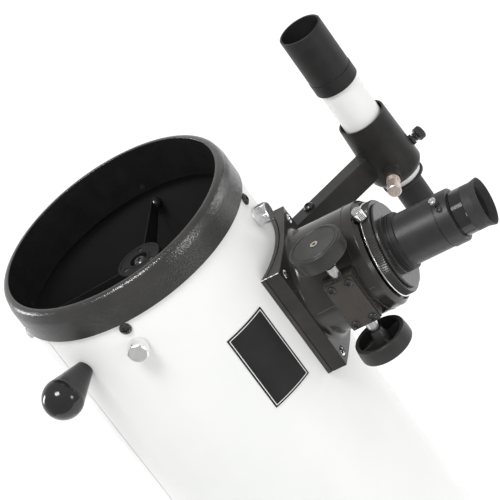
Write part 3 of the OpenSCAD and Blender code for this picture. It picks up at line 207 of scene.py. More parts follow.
def lathe(bm, points, at, closed=False, segments=96, knurl=None, steps=5):
    """Adds a turned solid. A knurl is (low z, high z, teeth, depth) of grooves along Z."""
    tooth = (0, 0.5, 1, 0.5)
    low, high, teeth, depth = knurl or (0, 0, 0, 0)
    segments = teeth * len(tooth) or segments
    rings = []
    for r, z in rounded(points, closed, steps):
        if r < TINY:
            rings.append([bm.verts.new(at @ Vector((0, 0, z)))])
            continue
        cut = depth if low - TINY <= z <= high + TINY else 0
        rings.append([bm.verts.new(at @ polar(r - cut * tooth[k % len(tooth)],
                                              2 * math.pi * k / segments, z))
                      for k in range(segments)])
    pairs = list(zip(rings, rings[1:]))
    if closed:
        pairs.append((rings[-1], rings[0]))
    for lower, upper in pairs:
        for k in range(segments):
            n = (k + 1) % segments
            if len(lower) == 1 and len(upper) == 1:
                break
            if len(lower) == 1:
                bm.faces.new((lower[0], upper[n], upper[k]))
            elif len(upper) == 1:
                bm.faces.new((lower[k], lower[n], upper[0]))
            else:
                bm.faces.new((lower[k], lower[n], upper[n], upper[k]))


def rod(bm, radius, low, high, at, segments=32):
    """Adds a plain cylinder."""
    lathe(bm, [(0, low), (radius, low), (radius, high), (0, high)], at, segments=segments)


def bevel_edges(bm, edges, width, segments=2, profile=0.6, clamp=False):
    """Rounds some edges of a mesh."""
    bmesh.ops.bevel(bm, geom=edges, offset=width, segments=segments, profile=profile,
                    affect="EDGES", clamp_overlap=clamp)


def prism(bm, outline, low, high, at, bevel=0.0):
    """Adds an outline in X and Y, raised from low to high, with rounded edges."""
    base = [bm.verts.new(at @ Vector((x, y, low))) for x, y in outline]
    top = [bm.verts.new(at @ Vector((x, y, high))) for x, y in outline]
    made = [bm.faces.new(base[::-1]), bm.faces.new(top)]
    for k in range(len(outline)):
        n = (k + 1) % len(outline)
        made.append(bm.faces.new((base[k], base[n], top[n], top[k])))
    if bevel:
        bm.normal_update()
        sharp = 0.5
        edges = dict.fromkeys(e for f in made for e in f.edges if e.calc_face_angle(0) > sharp)
        bevel_edges(bm, list(edges), bevel, clamp=True)


def rectangle(width, depth):
    """The corners of a rectangle about the origin."""
    return [(-width / 2, -depth / 2), (width / 2, -depth / 2),
            (width / 2, depth / 2), (-width / 2, depth / 2)]


def join(bm, columns, ring=False):
    """Adds the faces between neighbouring columns, in a ring or closed at both ends."""
    if not ring:
        bm.faces.new(columns[0])
        bm.faces.new(columns[-1][::-1])
    for first, second in zip(columns, columns[1:] + columns[:1] if ring else columns[1:]):
        for k in range(len(first)):
            n = (k + 1) % len(first)
            bm.faces.new((first[k], second[k], second[n], first[n]))


def sweep(bm, path, radius, sides=12):
    """Adds a round wire along a path of points, closed at both ends."""
    rings = []
    for i, here in enumerate(path):
        ahead = (path[min(i + 1, len(path) - 1)] - path[max(i - 1, 0)]).normalized()
        at = place(here, ahead)
        rings.append([bm.verts.new(at @ polar(radius, 2 * math.pi * k / sides))
                      for k in range(sides)])
    join(bm, rings)


def softened(node, width):
    """A CAD node's own shape with its hard edges rounded, in millimetres."""
    weld, flat, sharp = 0.002, math.radians(0.2), math.radians(30)
    bm = bmesh.new()
    bm.from_mesh(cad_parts[node].data)
    bmesh.ops.scale(bm, vec=(1 / MM,) * 3, verts=bm.verts)
    bmesh.ops.remove_doubles(bm, verts=bm.verts, dist=weld)
    bmesh.ops.dissolve_limit(bm, angle_limit=flat, verts=bm.verts, edges=bm.edges)
    hard = [e for e in bm.edges if len(e.link_faces) == 2 and e.calc_face_angle() > sharp]
    bevel_edges(bm, hard, width)
    return bm


def add_object(name, data):
    """A new object in the scene."""
    obj = bpy.data.objects.new(name, data)
    bpy.context.scene.collection.objects.link(obj)
    return obj


def make_mesh(name, bm):
    """A Blender object in metres from a bmesh in millimetres."""
    bmesh.ops.recalc_face_normals(bm, faces=bm.faces)
    mesh = bpy.data.meshes.new(name)
    bm.to_mesh(mesh)
    bm.free()
    mesh.transform(Matrix.Scale(MM, 4))
    return add_object(name, mesh)


def settle(obj):
    """Applies an object's modifiers to its mesh."""
    graph = bpy.context.evaluated_depsgraph_get()
    done = bpy.data.meshes.new_from_object(obj.evaluated_get(graph))
    obj.modifiers.clear()
    obj.data = done


def carve(obj, cutter):
    """Cuts a second bmesh out of an object's mesh."""
    tool = make_mesh(obj.name + "_tool", cutter)
    change = obj.modifiers.new("carve", "BOOLEAN")
    change.operation = "DIFFERENCE"
    change.solver = "EXACT"
    change.object = tool
    settle(obj)
    bpy.data.objects.remove(tool)


def flatten_normals(obj):
    """Shades wide faces flat up to the narrow roundings at their edges."""
    change = obj.modifiers.new("normals", "WEIGHTED_NORMAL")
    change.mode = "FACE_AREA"
    change.weight = 60
    change.keep_sharp = True
    settle(obj)


def piece(name, bm, material, body, stands_for=(), cut=None, sharp=32):
    """Makes a visible piece that rides on a body and stands for CAD nodes."""
    obj = make_mesh(name, bm)
    if cut:
        carve(obj, cut)
    obj.data.shade_smooth()
    obj.data.set_sharp_from_angle(angle=math.radians(sharp))
    flatten_normals(obj)
    obj.data.materials.clear()
    obj.data.materials.append(material)
    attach(obj, body)
    if stands_for:
        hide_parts(*stands_for)


def turned(name, outline, at, material, body, slot, stands_for=(), cut=None, **shape):
    """A piece turned from one closed outline."""
    bm = bmesh.new()
    lathe(bm, outline, at, closed=True, **shape)
    piece(name, bm, material, body, stands_for, cut)


def rounded_node(name, node, width, material, body):
    """A piece with a CAD node's own shape and rounded edges."""
    piece(name, softened(node, width), material, body, (node,))


def dress(node, material):
    """Gives a CAD node that stays as it is its procedural material."""
    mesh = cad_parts[node].data
    mesh.materials.clear()
    mesh.materials.append(material)


# Materials


def nodes_of(name):
    """A new node material: its main shader's inputs and its object coordinates."""
    material = bpy.data.materials.new(name)
    material.use_nodes = True
    tree = material.node_tree
    coords = tree.nodes.new("ShaderNodeTexCoord").outputs["Object"]
    return material, tree.nodes["Principled BSDF"].inputs, coords


def feed(socket, value):
    """Gives an input a plain value, or links another node's output to it."""
    if isinstance(value, bpy.types.NodeSocket):
        socket.id_data.links.new(value, socket)
    else:
        socket.default_value = value


def fill(sockets, **values):
    """Feeds the inputs with the given names, where a low line stands for a space."""
    for name, value in values.items():
        feed(sockets[name.replace("_", " ")], value)


def add_node(near, kind, **values):
    """A new node in the tree that a socket is in, with some of its inputs fed."""
    node = near.id_data.nodes.new("ShaderNode" + kind)
    fill(node.inputs, **values)
    return node


def compute(kind, operation, *values):
    """The outputs of a maths node, whose first value is another node's output."""
    node = add_node(values[0], kind)
    node.operation = operation
    for socket, value in zip(node.inputs, values):
        feed(socket, value)
    return node.outputs


def noise(coords, size, detail=3.0):
    """A noise value whose features are about size millimetres across."""
    node = add_node(coords, "TexNoise", Vector=coords, Scale=1 / (size * MM), Detail=detail)
    return node.outputs["Fac"]


def ranged(value, from_range, to_range):
    """Maps a value from one range to another, and holds it inside."""
    node = add_node(value, "MapRange", Value=value, From_Min=from_range[0], From_Max=from_range[1],
                    To_Min=to_range[0], To_Max=to_range[1])
    return node.outputs["Result"]


def uneven(coords, size, low, high):
    """A value that wanders from low to high in patches of a size in millimetres."""
    usual_range = (0.3, 0.7)
    return ranged(noise(coords, size), usual_range, (low, high))


def mixed(factor, first, second, kind="RGBA"):
    """A mix of two colours or two values by a factor from 0 to 1."""
    node = add_node(factor, "Mix")
    node.data_type = kind
    fill(node.inputs, Factor=factor, A=first, B=second)
    return node.outputs["Result"]


def mottled(coords, size, dark, light):
    """A colour that wanders between two in patches of a size in millimetres."""
    return mixed(uneven(coords, size, 0, 1), (*dark, 1), (*light, 1))


def bump(height, depth, shader, strength=1.0):
    """Raises a surface by a height value, depth millimetres deep."""
    node = add_node(height, "Bump", Height=height, Distance=depth * MM, Strength=strength)
    fill(shader, Normal=node.outputs["Normal"])


def surface(name, dark, light, rough, patch=12.0, grain=0.6, depth=0.02, **sockets):
    """A procedural finish: mottled colour, uneven gloss and a fine grain."""
    material, shader, coords = nodes_of(name)
    fill(shader, Base_Color=mottled(coords, patch, dark, light),
         Roughness=uneven(coords, patch * 0.4, *rough), **sockets)
    bump(noise(coords, grain), depth, shader)
    return material


def grey(value, warm=0.0):
    """A grey with a little warmth."""
    return (value * (1 + warm), value, value * (1 - warm))


def beyond(coords, radius):
    """A value that is 1 further than a radius from the tube's axis, and 0 nearer."""
    flat = compute("VectorMath", "MULTIPLY", coords, (1, 1, 0))["Vector"]
    distance = compute("VectorMath", "LENGTH", flat)["Value"]
    return compute("Math", "GREATER_THAN", distance, radius * MM)["Value"]


def crackle_finish():
    """Black paint that dried in small shiny wrinkles, with painted shade: darker inside the ring."""
    patch, gloss_patch, wrinkle, depth = 14, 4, 1.05, 0.18
    material, shader, coords = nodes_of("crackle_black")
    outside = beyond(coords, SLEEVE_R - SLEEVE_T + 0.4)
    # Painted shade: the ring's inside wall gets a darker, neutral copy of the paint, for the shade
    # inside the ring.
    inner = mottled(coords, patch, grey(0.01), grey(0.015))
    outer = mottled(coords, patch, grey(0.017, 0.04), grey(0.025, 0.06))
    fill(shader, Base_Color=mixed(outside, inner, outer), Specular_IOR_Level=0.8,
         Roughness=uneven(coords, gloss_patch, 0.18, 0.26))
    cells = add_node(coords, "TexVoronoi")
    cells.feature = "SMOOTH_F1"
    fill(cells.inputs, Vector=coords, Scale=1 / (wrinkle * MM), Smoothness=0.5)
    bump(cells.outputs["Distance"], depth, shader)
    return material


def tube_finish():
    """Gloss white outside the tube's wall and flat black inside it."""
    patch, ripple, depth, flat, gloss = 60, 5, 0.03, 0.75, 0.24
    material, shader, coords = nodes_of("tube_paint")
    outside = beyond(coords, TUBE_R - TUBE_WALL / 2)
    white = mottled(coords, patch, (0.825, 0.835, 0.82), (0.855, 0.86, 0.85))
    black = mottled(coords, patch, grey(0.011), grey(0.018))
    fill(shader, Base_Color=mixed(outside, black, white),
         Roughness=ranged(outside, (0, 1), (flat, gloss)))
    bump(noise(coords, ripple, detail=1), depth, shader, strength=0.5)
    return material


def glass_finish():
    """Coated glass, with a faint uneven film."""
    patch, film_patch, refraction = 20, 8, 1.52
    material, shader, coords = nodes_of("coated_lens")
    fill(shader, Base_Color=mottled(coords, patch, (0.75, 0.82, 0.95), (0.9, 0.93, 0.95)),
         Roughness=uneven(coords, film_patch, 0.01, 0.05), Transmission_Weight=1, IOR=refraction)
    return material


CRACKLE = crackle_finish()
TUBE_PAINT = tube_finish()
WHITE_PAINT = surface("white_paint", (0.83, 0.84, 0.825), (0.86, 0.865, 0.855), (0.2, 0.3),
                      patch=40, grain=3, depth=0.01)
# Flat black paint for the vanes, the hub and the holder; also painted shade in the screws' slots, in
# the shaft's dimples and in the focuser's joint.
MATT_BLACK_AND_SHADE = surface("matt_black_and_painted_shade", grey(0.012), grey(0.02), (0.55, 0.7), grain=0.5, depth=0.03,
                     Specular_IOR_Level=0.2)
CAST_BLACK = surface("cast_black", grey(0.023, 0.05), grey(0.034, 0.07), (0.18, 0.26),
                     patch=18, grain=0.5, depth=0.012, Specular_IOR_Level=0.4)
# A lighter copy of the cast black for the focuser's pad: painted light, for its front face, which the
# light falls on more.
PAD_PAINTED_LIGHT = surface("pad_painted_light", grey(0.036, 0.05), grey(0.05, 0.07), (0.2, 0.28),
                    patch=18, grain=0.5, depth=0.012, Specular_IOR_Level=0.4)
CLAMP_BLACK = surface("clamp_black", grey(0.027, 0.03), grey(0.036, 0.04), (0.18, 0.26),
                      patch=9, grain=0.4, depth=0.006)
SATIN_BLACK = surface("satin_black", grey(0.016, 0.01), grey(0.023, 0.02), (0.36, 0.44),
                      patch=10, grain=0.35, depth=0.008, Specular_IOR_Level=0.5)
COVER_BROWN = surface("cover_brown", (0.036, 0.031, 0.026), (0.047, 0.04, 0.034), (0.36, 0.46),
                      patch=9, grain=0.5, depth=0.012)
BRACKET = surface("bracket_black", grey(0.017, 0.03), grey(0.025, 0.05), (0.3, 0.4),
                  patch=14, grain=0.5, depth=0.015, Specular_IOR_Level=0.22)
ANODISED = surface("black_anodised", grey(0.016, 0.01), grey(0.022, 0.02), (0.4, 0.5),
                   patch=10, grain=0.35, depth=0.012, Specular_IOR_Level=0.25)
MOULDED = surface("moulded_black", grey(0.021, 0.02), grey(0.03, 0.03), (0.32, 0.42),
                  patch=9, grain=0.45, depth=0.015, Specular_IOR_Level=0.4)
GLOSS_BLACK = surface("gloss_black", grey(0.01), grey(0.015), (0.08, 0.14),
                      patch=15, grain=6, depth=0.008)
RUBBER = surface("soft_rubber", grey(0.024), grey(0.034), (0.5, 0.64), patch=6, grain=0.3,
                 depth=0.02, Specular_IOR_Level=0.3, Sheen_Weight=0.08, Sheen_Roughness=0.5)
CHROME = surface("chrome_plate", grey(0.7), grey(0.82), (0.1, 0.2), patch=5, grain=0.8,
                 depth=0.004, Metallic=1)
# A lighter copy of the chrome for the spider's nuts: painted reflection, for the bright surroundings
# their faces mirror.
CHROME_LIT_COPY = surface("chrome_painted_reflection", grey(0.82), grey(0.92), (0.12, 0.22), patch=4, grain=0.6,
                        depth=0.004, Metallic=0.94)
NICKEL = surface("nickel_plate", (0.6, 0.5, 0.44), (0.78, 0.69, 0.62), (0.26, 0.4), patch=2,
                 grain=0.4, depth=0.006, Metallic=0.75)
BLACK_STEEL = surface("blackened_steel", grey(0.014), grey(0.03), (0.16, 0.28), patch=2,
                      grain=0.4, depth=0.008, Specular_IOR_Level=0.6)
ALLOY = surface("turned_alloy", grey(0.42, 0.02), grey(0.56, 0.02), (0.24, 0.38), patch=4,
                grain=0.3, depth=0.008, Metallic=1)
GREY_ALLOY = surface("grey_alloy", grey(0.1, 0.03), grey(0.14, 0.03), (0.36, 0.48), patch=6,
                     grain=0.4, depth=0.015, Metallic=0.6)
PALE_BRASS = surface("plated_brass", (0.5, 0.45, 0.36), (0.66, 0.6, 0.5), (0.2, 0.32), patch=2,
                     grain=0.3, depth=0.006, Metallic=1)
BRASS = surface("turned_brass", (0.55, 0.4, 0.2), (0.68, 0.53, 0.3), (0.2, 0.34), patch=3,
                grain=0.3, depth=0.008, Metallic=1)
BORDER_WHITE = surface("printed_white", grey(0.72), grey(0.8), (0.35, 0.45), patch=8,
                       grain=0.4, depth=0.004)
# Painted highlight: a pale grey for the broken line of light along the focuser base's front near
# edge.
EDGE_HIGHLIGHT_PAINT = surface("painted_edge_highlight", grey(0.6), grey(0.8), (0.3, 0.45), patch=1.5, grain=0.3,
                    depth=0.01)
# Partly painted highlight: the mould lines are real fine ridges, and their lighter grey stands for
# the light they catch.
MOULD_LINE = surface("mould_line", grey(0.05), grey(0.12), (0.35, 0.5), patch=1.2, grain=0.3,
                     depth=0.01)
# Painted shade: a mid grey for the thin strip along the tube, standing for the shadow in the seam's
# gap.
SEAM_SHADE_PAINT = surface("painted_seam_shade", grey(0.5), grey(0.58), (0.4, 0.5), patch=30, grain=2, depth=0.01)
LABEL_BLACK = surface("label_black", grey(0.009), grey(0.014), (0.28, 0.36), patch=20,
                      grain=0.6, depth=0.004, Specular_IOR_Level=0.28)
MIRROR = surface("mirror_film", grey(0.86), grey(0.9), (0.01, 0.03), patch=30, grain=8,
                 depth=0.0005, Metallic=1)
LENS = glass_finish()


# Small shapes that repeat


def screw(bm, cross, at, head, height, shank, length):
    """Adds a domed screw, and its cross slot to a second mesh. Z = 0 is under the head."""
    r = head / 2
    lathe(bm, [(0, -length), (shank / 2, -length), (shank / 2, 0), (r, 0, 0.2),
               (r, height * 0.45, height * 0.4), (r * 0.55, height * 0.96, r * 0.6), (0, height)],
          at, segments=40)
    prism(cross, cross_outline(head), height * 0.5, height * 1.5, at)


def cross_outline(head):
    """The outline of a cross slot in a screw's head."""
    slot = head * 0.1
    arm = head * 0.28
    return [(-slot, -arm), (slot, -arm), (slot, -slot), (arm, -slot), (arm, slot), (slot, slot),
            (slot, arm), (-slot, arm), (-slot, slot), (-arm, slot), (-arm, -slot), (-slot, -slot)]


def screws(name, node, places, sizes, material, body, turn, dark=False):
    """One piece with a domed screw at each place, each turned a little further than the last.

    The sizes are the head's width and height and the shank's width and length. With dark, a
    black insert sits in each cross slot: painted shade, as the plated slot alone looks bright.
    """
    further = 23
    bm, cross, shade_floors = bmesh.new(), bmesh.new(), bmesh.new()
    head, height = sizes[:2]
    for k, at in enumerate(places):
        spun = at @ spin(turn + further * k)
        screw(bm, cross, spun, *sizes)
        prism(shade_floors, cross_outline(head), height * 0.45, height * 0.6, spun)
    piece(name, bm, material, body, (node,), cut=cross)
    # Painted shade: a black insert sunk in each cross slot.
    if dark:
        piece(name + "_painted_slot_shade", shade_floors, MATT_BLACK_AND_SHADE, body)
    else:
        shade_floors.free()


def thumbscrew(name, node, at, material, body, start, shank_r, head_from, head_r, head_h,
               teeth, depth, collar=()):
    """A screw whose knurled head has a small dimple, with a collar's closed outline if given."""
    end, foot, edge = head_from + head_h, head_from + 0.7, head_from + head_h - 0.9
    bm = bmesh.new()
    lathe(bm, [(0, start), (shank_r, start, 0.2), (shank_r, head_from),
               (head_r - 0.5, head_from, 0.2), (head_r, foot), (head_r, edge),
               (head_r - 0.9, end, 0.25), (head_r * 0.42, end, 0.2), (head_r * 0.3, end - 0.5),
               (0, end - 0.5)],
          at, knurl=(foot, edge, teeth, depth))
    if collar:
        lathe(bm, collar, at, closed=True, segments=48)
    piece(name, bm, material, body, (node,))


# The tube, its rings and what is fixed to it


def front_ring():
    inner, lip_r, taper = SLEEVE_R - SLEEVE_T, 91.8, 9
    turned("ring_at_front",
           [(SLEEVE_R, TUBE_TOP - SLEEVE), (SLEEVE_R, TUBE_TOP), (RING_R, TUBE_TOP, 0.6),
            (RING_R, FRONT - taper, 14), (lip_r, FRONT, 4.6), (inner, FRONT, 0.6),
            (inner, TUBE_TOP - SLEEVE, 0.6)],
           Matrix(), CRACKLE, "tube", "crackle_black", ("front_ring",), segments=256, steps=10)


def rear_ring():
    rounded_node("ring_at_rear", "rear_ring", 0.6, CRACKLE, "tube")


def ring_screws():
    heights = (TUBE_LOW + SLEEVE / 2, TUBE_TOP - SLEEVE / 2)
    places = [outward(a, z, TUBE_R) for a in QUARTERS for z in heights]
    screws("screws_of_rings", "ring_screws", places, (9, 2.6, 4, 5), BLACK_STEEL, "tube",
           turn=20)


def curved_plate(bm, low_r, high_r, angle, width, low_z, high_z, steps=16):
    """Adds a plate that lies on the tube, with its width measured round it."""
    half = width / 2 / TUBE_R
    section = ((low_r, low_z), (high_r, low_z), (high_r, high_z), (low_r, high_z))
    columns = []
    for k in range(steps + 1):
        a = math.radians(angle) - half + 2 * half * k / steps
        columns.append([bm.verts.new(polar(r, a, z)) for r, z in section])
    join(bm, columns)


def tube_seam():
    angle, width, proud, sunk, short = -135.4, 0.5, 0.06, 0.02, 0.1
    # The strip's grey is painted shade of the seam's gap.
    bm = bmesh.new()
    curved_plate(bm, TUBE_R - sunk, TUBE_R + proud, angle, width, TUBE_LOW + short,
                 TUBE_TOP - short, steps=1)
    piece("tube_seam", bm, SEAM_SHADE_PAINT, "tube")


def label_plate():
    low, high = span("label_plate")
    angle, width, thick, longer, corner_r, edge_r = -46.95, 35.6, 0.5, 1.5, 1.1, 0.12
    inset, line, proud, sunk = 1.25, 0.58, 0.04, 0.02
    top, sharp = TUBE_R + thick, math.radians(60)
    high.z += longer
    bm = bmesh.new()
    curved_plate(bm, TUBE_R + 0.02, top, angle, width, low.z, high.z)
    corners = [e for e in bm.edges if e.calc_length() < 1 and e.calc_face_angle(0) > sharp]
    bevel_edges(bm, corners, corner_r, segments=4, profile=0.5)
    rim = [e for e in bm.edges if e.calc_face_angle(0) > sharp]
    bevel_edges(bm, rim, edge_r)
    piece("plate_on_tube", bm, LABEL_BLACK, "tube", ("label_plate",))
    bm = bmesh.new()
    inner = width - 2 * inset
    for z in (low.z + inset, high.z - inset - line):
        curved_plate(bm, top - sunk, top + proud, angle, inner, z, z + line)
    for side in (-1, 1):
        shift = math.degrees(side * (inner - line) / 2 / TUBE_R)
        curved_plate(bm, top - sunk, top + proud, angle + shift, line,
                     low.z + inset + line, high.z - inset - line, steps=2)
    piece("plate_border", bm, BORDER_WHITE, "tube")


def guide_handle():
    angle, base_r, ball_r, ball_h, meet, steps = -122.6, 6.5, 15.3, 30, 6, 28
    at = outward(angle, middle("guide_handle").z, TUBE_R)
    crease = math.sqrt(ball_r ** 2 - meet ** 2)
    start = math.asin(-meet / ball_r)
    arc = [start + (math.pi / 2 - start) * k / steps for k in range(1, steps)]
    ball = [(ball_r * math.cos(a), ball_h + ball_r * math.sin(a)) for a in arc]
    bm = bmesh.new()
    lathe(bm, [(0, -0.2), (base_r - 0.4, -0.2), (base_r, 0.5), (crease - 0.25, ball_h - meet - 0.3),
               (crease - 0.1, ball_h - meet)] + ball + [(0, ball_h + ball_r)], at, segments=96)
    piece("handle_ball", bm, GLOSS_BLACK, "tube", ("guide_handle",), sharp=50)


def altitude_hubs():
    rounded_node("hubs_of_altitude", "altitude_hubs", 0.7, CRACKLE, "tube")
    rounded_node("bolts_through_tube", "tube_bolts", 0.2, BLACK_STEEL, "tube")


# The spider and the secondary


def spider():
    nut_r, nut_h, nut_foot, nut_edge = 7.5, 10.5, 1.0, 0.9
    bm = bmesh.new()
    for a in QUARTERS:
        lathe(bm, [(2.5, 0), (nut_r, 0, 0.25), (nut_r, nut_foot), (nut_r, nut_h - nut_edge),
                   (nut_r - nut_edge, nut_h, 0.3), (nut_r - 2, nut_h - 0.05), (0, nut_h - 0.05)],
              outward(a, SPIDER_Z, TUBE_R), knurl=(nut_foot, nut_h - nut_edge, 40, 0.35))
    # The nuts take the lighter chrome copy, a painted reflection.
    piece("nuts_of_spider", bm, CHROME_LIT_COPY, "tube", ("spider_nuts",))
    wall, stud_r, boss_r = TUBE_R - TUBE_WALL, 2.5, 4.0
    boss, thick, hub_w, wall_w = wall - 6, 1.0, 16, 9
    vanes, studs = bmesh.new(), bmesh.new()
    outline = [(-hub_w / 2, HUB_R), (hub_w / 2, HUB_R), (wall_w / 2, boss), (-wall_w / 2, boss)]
    for a in QUARTERS:
        at = outward(a, SPIDER_Z)
        prism(vanes, outline, -thick / 2, thick / 2, at @ spin(90, "X"), bevel=0.15)
        lathe(studs, [(0, boss - 1.5), (stud_r + 0.1, boss - 1.5, 0.8), (boss_r, boss, 0.8),
                      (boss_r, wall - 0.3, 0.4), (stud_r, wall - 0.3), (stud_r, wall + nut_h - 2),
                      (0, wall + nut_h - 2)], at, segments=40)
    piece("vanes_of_spider", vanes, MATT_BLACK_AND_SHADE, "tube", ("spider_vanes",))
    piece("studs_of_vanes", studs, BLACK_STEEL, "tube")


def secondary():
    bolt_r, screw_r, circle, recess_r, recess, groove = 2.6, 2.02, 12, 7, 4, 0.5
    low, high = limits("spider_hub", "z")
    holes = bmesh.new()
    for a in THIRDS:
        rod(holes, screw_r, low - 1, high + 1, spin(a) @ move(circle))
    turned("hub_of_spider",
           [(bolt_r, low), (HUB_R, low, 0.8), (HUB_R, high, 0.8), (HUB_R - 2.2, high),
            (HUB_R - 2.5, high - groove), (recess_r + 2.2, high - groove), (recess_r + 1.9, high),
            (recess_r, high, 0.4), (recess_r, high - recess), (bolt_r, high - recess)],
           Matrix(), MATT_BLACK_AND_SHADE, "tube", "black_alloy", ("spider_hub",), cut=holes)
    rounded_node("screws_of_secondary", "secondary_screws", 0.15, BLACK_STEEL, "tube")
    rounded_node("holder_of_secondary", "secondary_holder", 0.4, MATT_BLACK_AND_SHADE, "secondary")
    dress("secondary_mirror", MIRROR)


# The primary mirror and its cell


def primary_cell():
    rounded_node("plate_at_back", "cell_back_plate", 0.4, GREY_ALLOY, "tube")
    rounded_node("cell_of_mirror", "mirror_cell", 0.5, GREY_ALLOY, "cell")
    rounded_node("clips_of_mirror", "mirror_clips", 0.3, MOULDED, "cell")
    rounded_node("screws_of_plate", "cell_plate_screws", 0.2, BLACK_STEEL, "tube")
    dress("primary_mirror", MIRROR)
    knob_r, knob_h, thread_r, edge = 9, 13, 3, 1.2
    low, high = limits("collimation_knob_a", "z")
    top = low + knob_h
    for letter, a in zip("abc", THIRDS):
        bm = bmesh.new()
        lathe(bm, [(0, low + 0.8), (knob_r - 3, low + 0.8), (knob_r - 2.6, low, 0.2),
                   (knob_r - edge, low, 0.3), (knob_r, low + edge), (knob_r, top - edge),
                   (knob_r - 0.8, top, 0.3), (thread_r, top), (thread_r, high - 0.6),
                   (thread_r - 0.6, high), (0, high)],
              spin(a) @ move(KNOB_CIRCLE), knurl=(low + edge, top - edge, 36, 0.45))
        piece("collimation_grip_" + letter, bm, ALLOY, "knob_" + letter,
              ("collimation_knob_" + letter,))


def springs():
    mean_r, wire_r, turns = 6.5, 0.9, 5
    low, high = span("collimation_springs")
    bottom, top = low.z + wire_r, high.z - wire_r
    bm = bmesh.new()
    steps = turns * 24
    for a in THIRDS:
        spot = spin(a) @ move(KNOB_CIRCLE)
        path = []
        for k in range(steps + 1):
            t = 2 * math.pi * turns * k / steps
            path.append(spot @ polar(mean_r, t, bottom + (top - bottom) * k / steps))
        sweep(bm, path, wire_r)
    obj = make_mesh("springs_of_cell", bm)
    obj.data.shade_smooth()
    obj.data.materials.append(ALLOY)
    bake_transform(obj)
    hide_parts("collimation_springs")


# The focuser


def pad_layer(bm, inner, outer, inset, bevel=0.0):
    """Adds a layer of the pad that lies between the tube and the focuser's flange."""
    steps = 24
    outline = []
    for r, way in ((inner, -1), (outer, 1)):
        reach = math.asin((BASE_W - inset) / r)
        outline += [polar(r, way * (2 * reach * k / steps - reach))[:2] for k in range(steps + 1)]
    prism(bm, outline, BASE_REAR + inset, BASE_FRONT - inset, Matrix(), bevel)


def base_pad():
    top = span("focuser_saddle")[1].x
    port_r, port_in, port_out, joint, joint_depth = 38.1, 60, 110, 0.7, 0.9
    for name, layer, material, stands_for in (
            # The pad takes the lighter copy of the cast black: painted light.
            ("pad_of_focuser", (TUBE_R, top - joint, 0, 0.3), PAD_PAINTED_LIGHT, ("focuser_saddle",)),
            # The joint is a real recess; its flat black layer adds painted shade to that recess.
            ("joint_shade_of_focuser", (top - joint, top, joint_depth), MATT_BLACK_AND_SHADE, ())):
        bm, port = bmesh.new(), bmesh.new()
        pad_layer(bm, *layer)
        rod(port, port_r, port_in, port_out, on_focuser(), segments=96)
        piece(name, bm, material, "tube", stands_for, cut=port)


def painted_edge_highlight():
    """Painted highlight: broken pale dashes along the front near edge of the focuser's base, where
    the edge catches the light.
    """
    low, high = math.sqrt(TUBE_R ** 2 - BASE_W ** 2) + 0.4, FLANGE_X - 2.8
    inset, half = 0.12, 0.1
    at = place((0, inset - BASE_W, BASE_FRONT - inset), (0, -1, 1), (1, 0, 0))
    highlight_dashes = ((0.0, 0.16, 0.6), (0.19, 0.36, 0.75), (0.41, 0.46, 0.4), (0.5, 0.66, 0.65),
             (0.7, 0.76, 0.45), (0.8, 0.97, 0.6))
    bm = bmesh.new()
    for start, stop, width in highlight_dashes:
        outline = rectangle((stop - start) * (high - low), width)
        spot = at @ move(low + (start + stop) / 2 * (high - low))
        prism(bm, outline, -half, half, spot, bevel=0.05)
    piece("highlight_on_base_edge", bm, EDGE_HIGHLIGHT_PAINT, "tube")


def drum_skirt():
    """A concave fillet between the round housing and its crowned flange."""
    most, edge, sunk, segments, steps = 4.0, 0.3, 0.4, 160, 6
    crown_r = (BASE_W ** 2 + FLANGE_DROP ** 2) / (2 * FLANGE_DROP)
    bm = bmesh.new()
    columns = []
    for k in range(segments):
        a = 2 * math.pi * k / segments
        side, ahead = math.sin(a), math.cos(a)
        reach = BASE_FRONT - FOCUS_Z if ahead > 0 else FOCUS_Z - BASE_REAR
        room = min((BASE_W - edge) / max(abs(side), 0.01), (reach - edge) / max(abs(ahead), 0.01))
        fillet = min(most, room - DRUM_R)
        path = [(DRUM_R + fillet * (1 - math.cos(t)), fillet * (1 - math.sin(t)))
                for t in (math.pi / 2 * n / steps for n in range(steps + 1))]
        path += [(DRUM_R + fillet, -sunk), (DRUM_R - sunk, -sunk), (DRUM_R - sunk, fillet)]
        column = []
        for r, lift in path:
            crown = FLANGE_X - crown_r + math.sqrt(crown_r ** 2 - (r * side) ** 2)
            column.append(bm.verts.new((crown + lift, r * side, FOCUS_Z + r * ahead)))
        columns.append(column)
    join(bm, columns, ring=True)
    piece("skirt_of_drum", bm, CAST_BLACK, "tube")


def drum_lines():
    """The housing's bead and the fine lines that its mould left; the lines' lighter grey is a painted
    highlight on those ridges.
    """
    bead, bead_w, proud, sunk, line, first_end = 142.4, 1.1, 0.35, 0.3, 0.45, 117
    turned("bead_of_drum",
           [(DRUM_R - sunk, bead), (DRUM_R + proud, bead, 0.15),
            (DRUM_R + proud, bead + bead_w, 0.3), (DRUM_R - sunk, bead + bead_w)],
           on_focuser(), CAST_BLACK, "tube", "black_alloy", segments=144)
    at = place((0, -DRUM_R, FOCUS_Z), (0, -1, 0), (1, 0, 0))
    bm = bmesh.new()
    for low, high in ((TUBE_R + 9, first_end), (bead + 1, DRUM_X - 4)):
        spot = at @ move((low + high) / 2)
        prism(bm, rectangle(high - low, line), -0.2, 0.14, spot, bevel=0.08)
    piece("lines_of_mould", bm, MOULD_LINE, "tube")


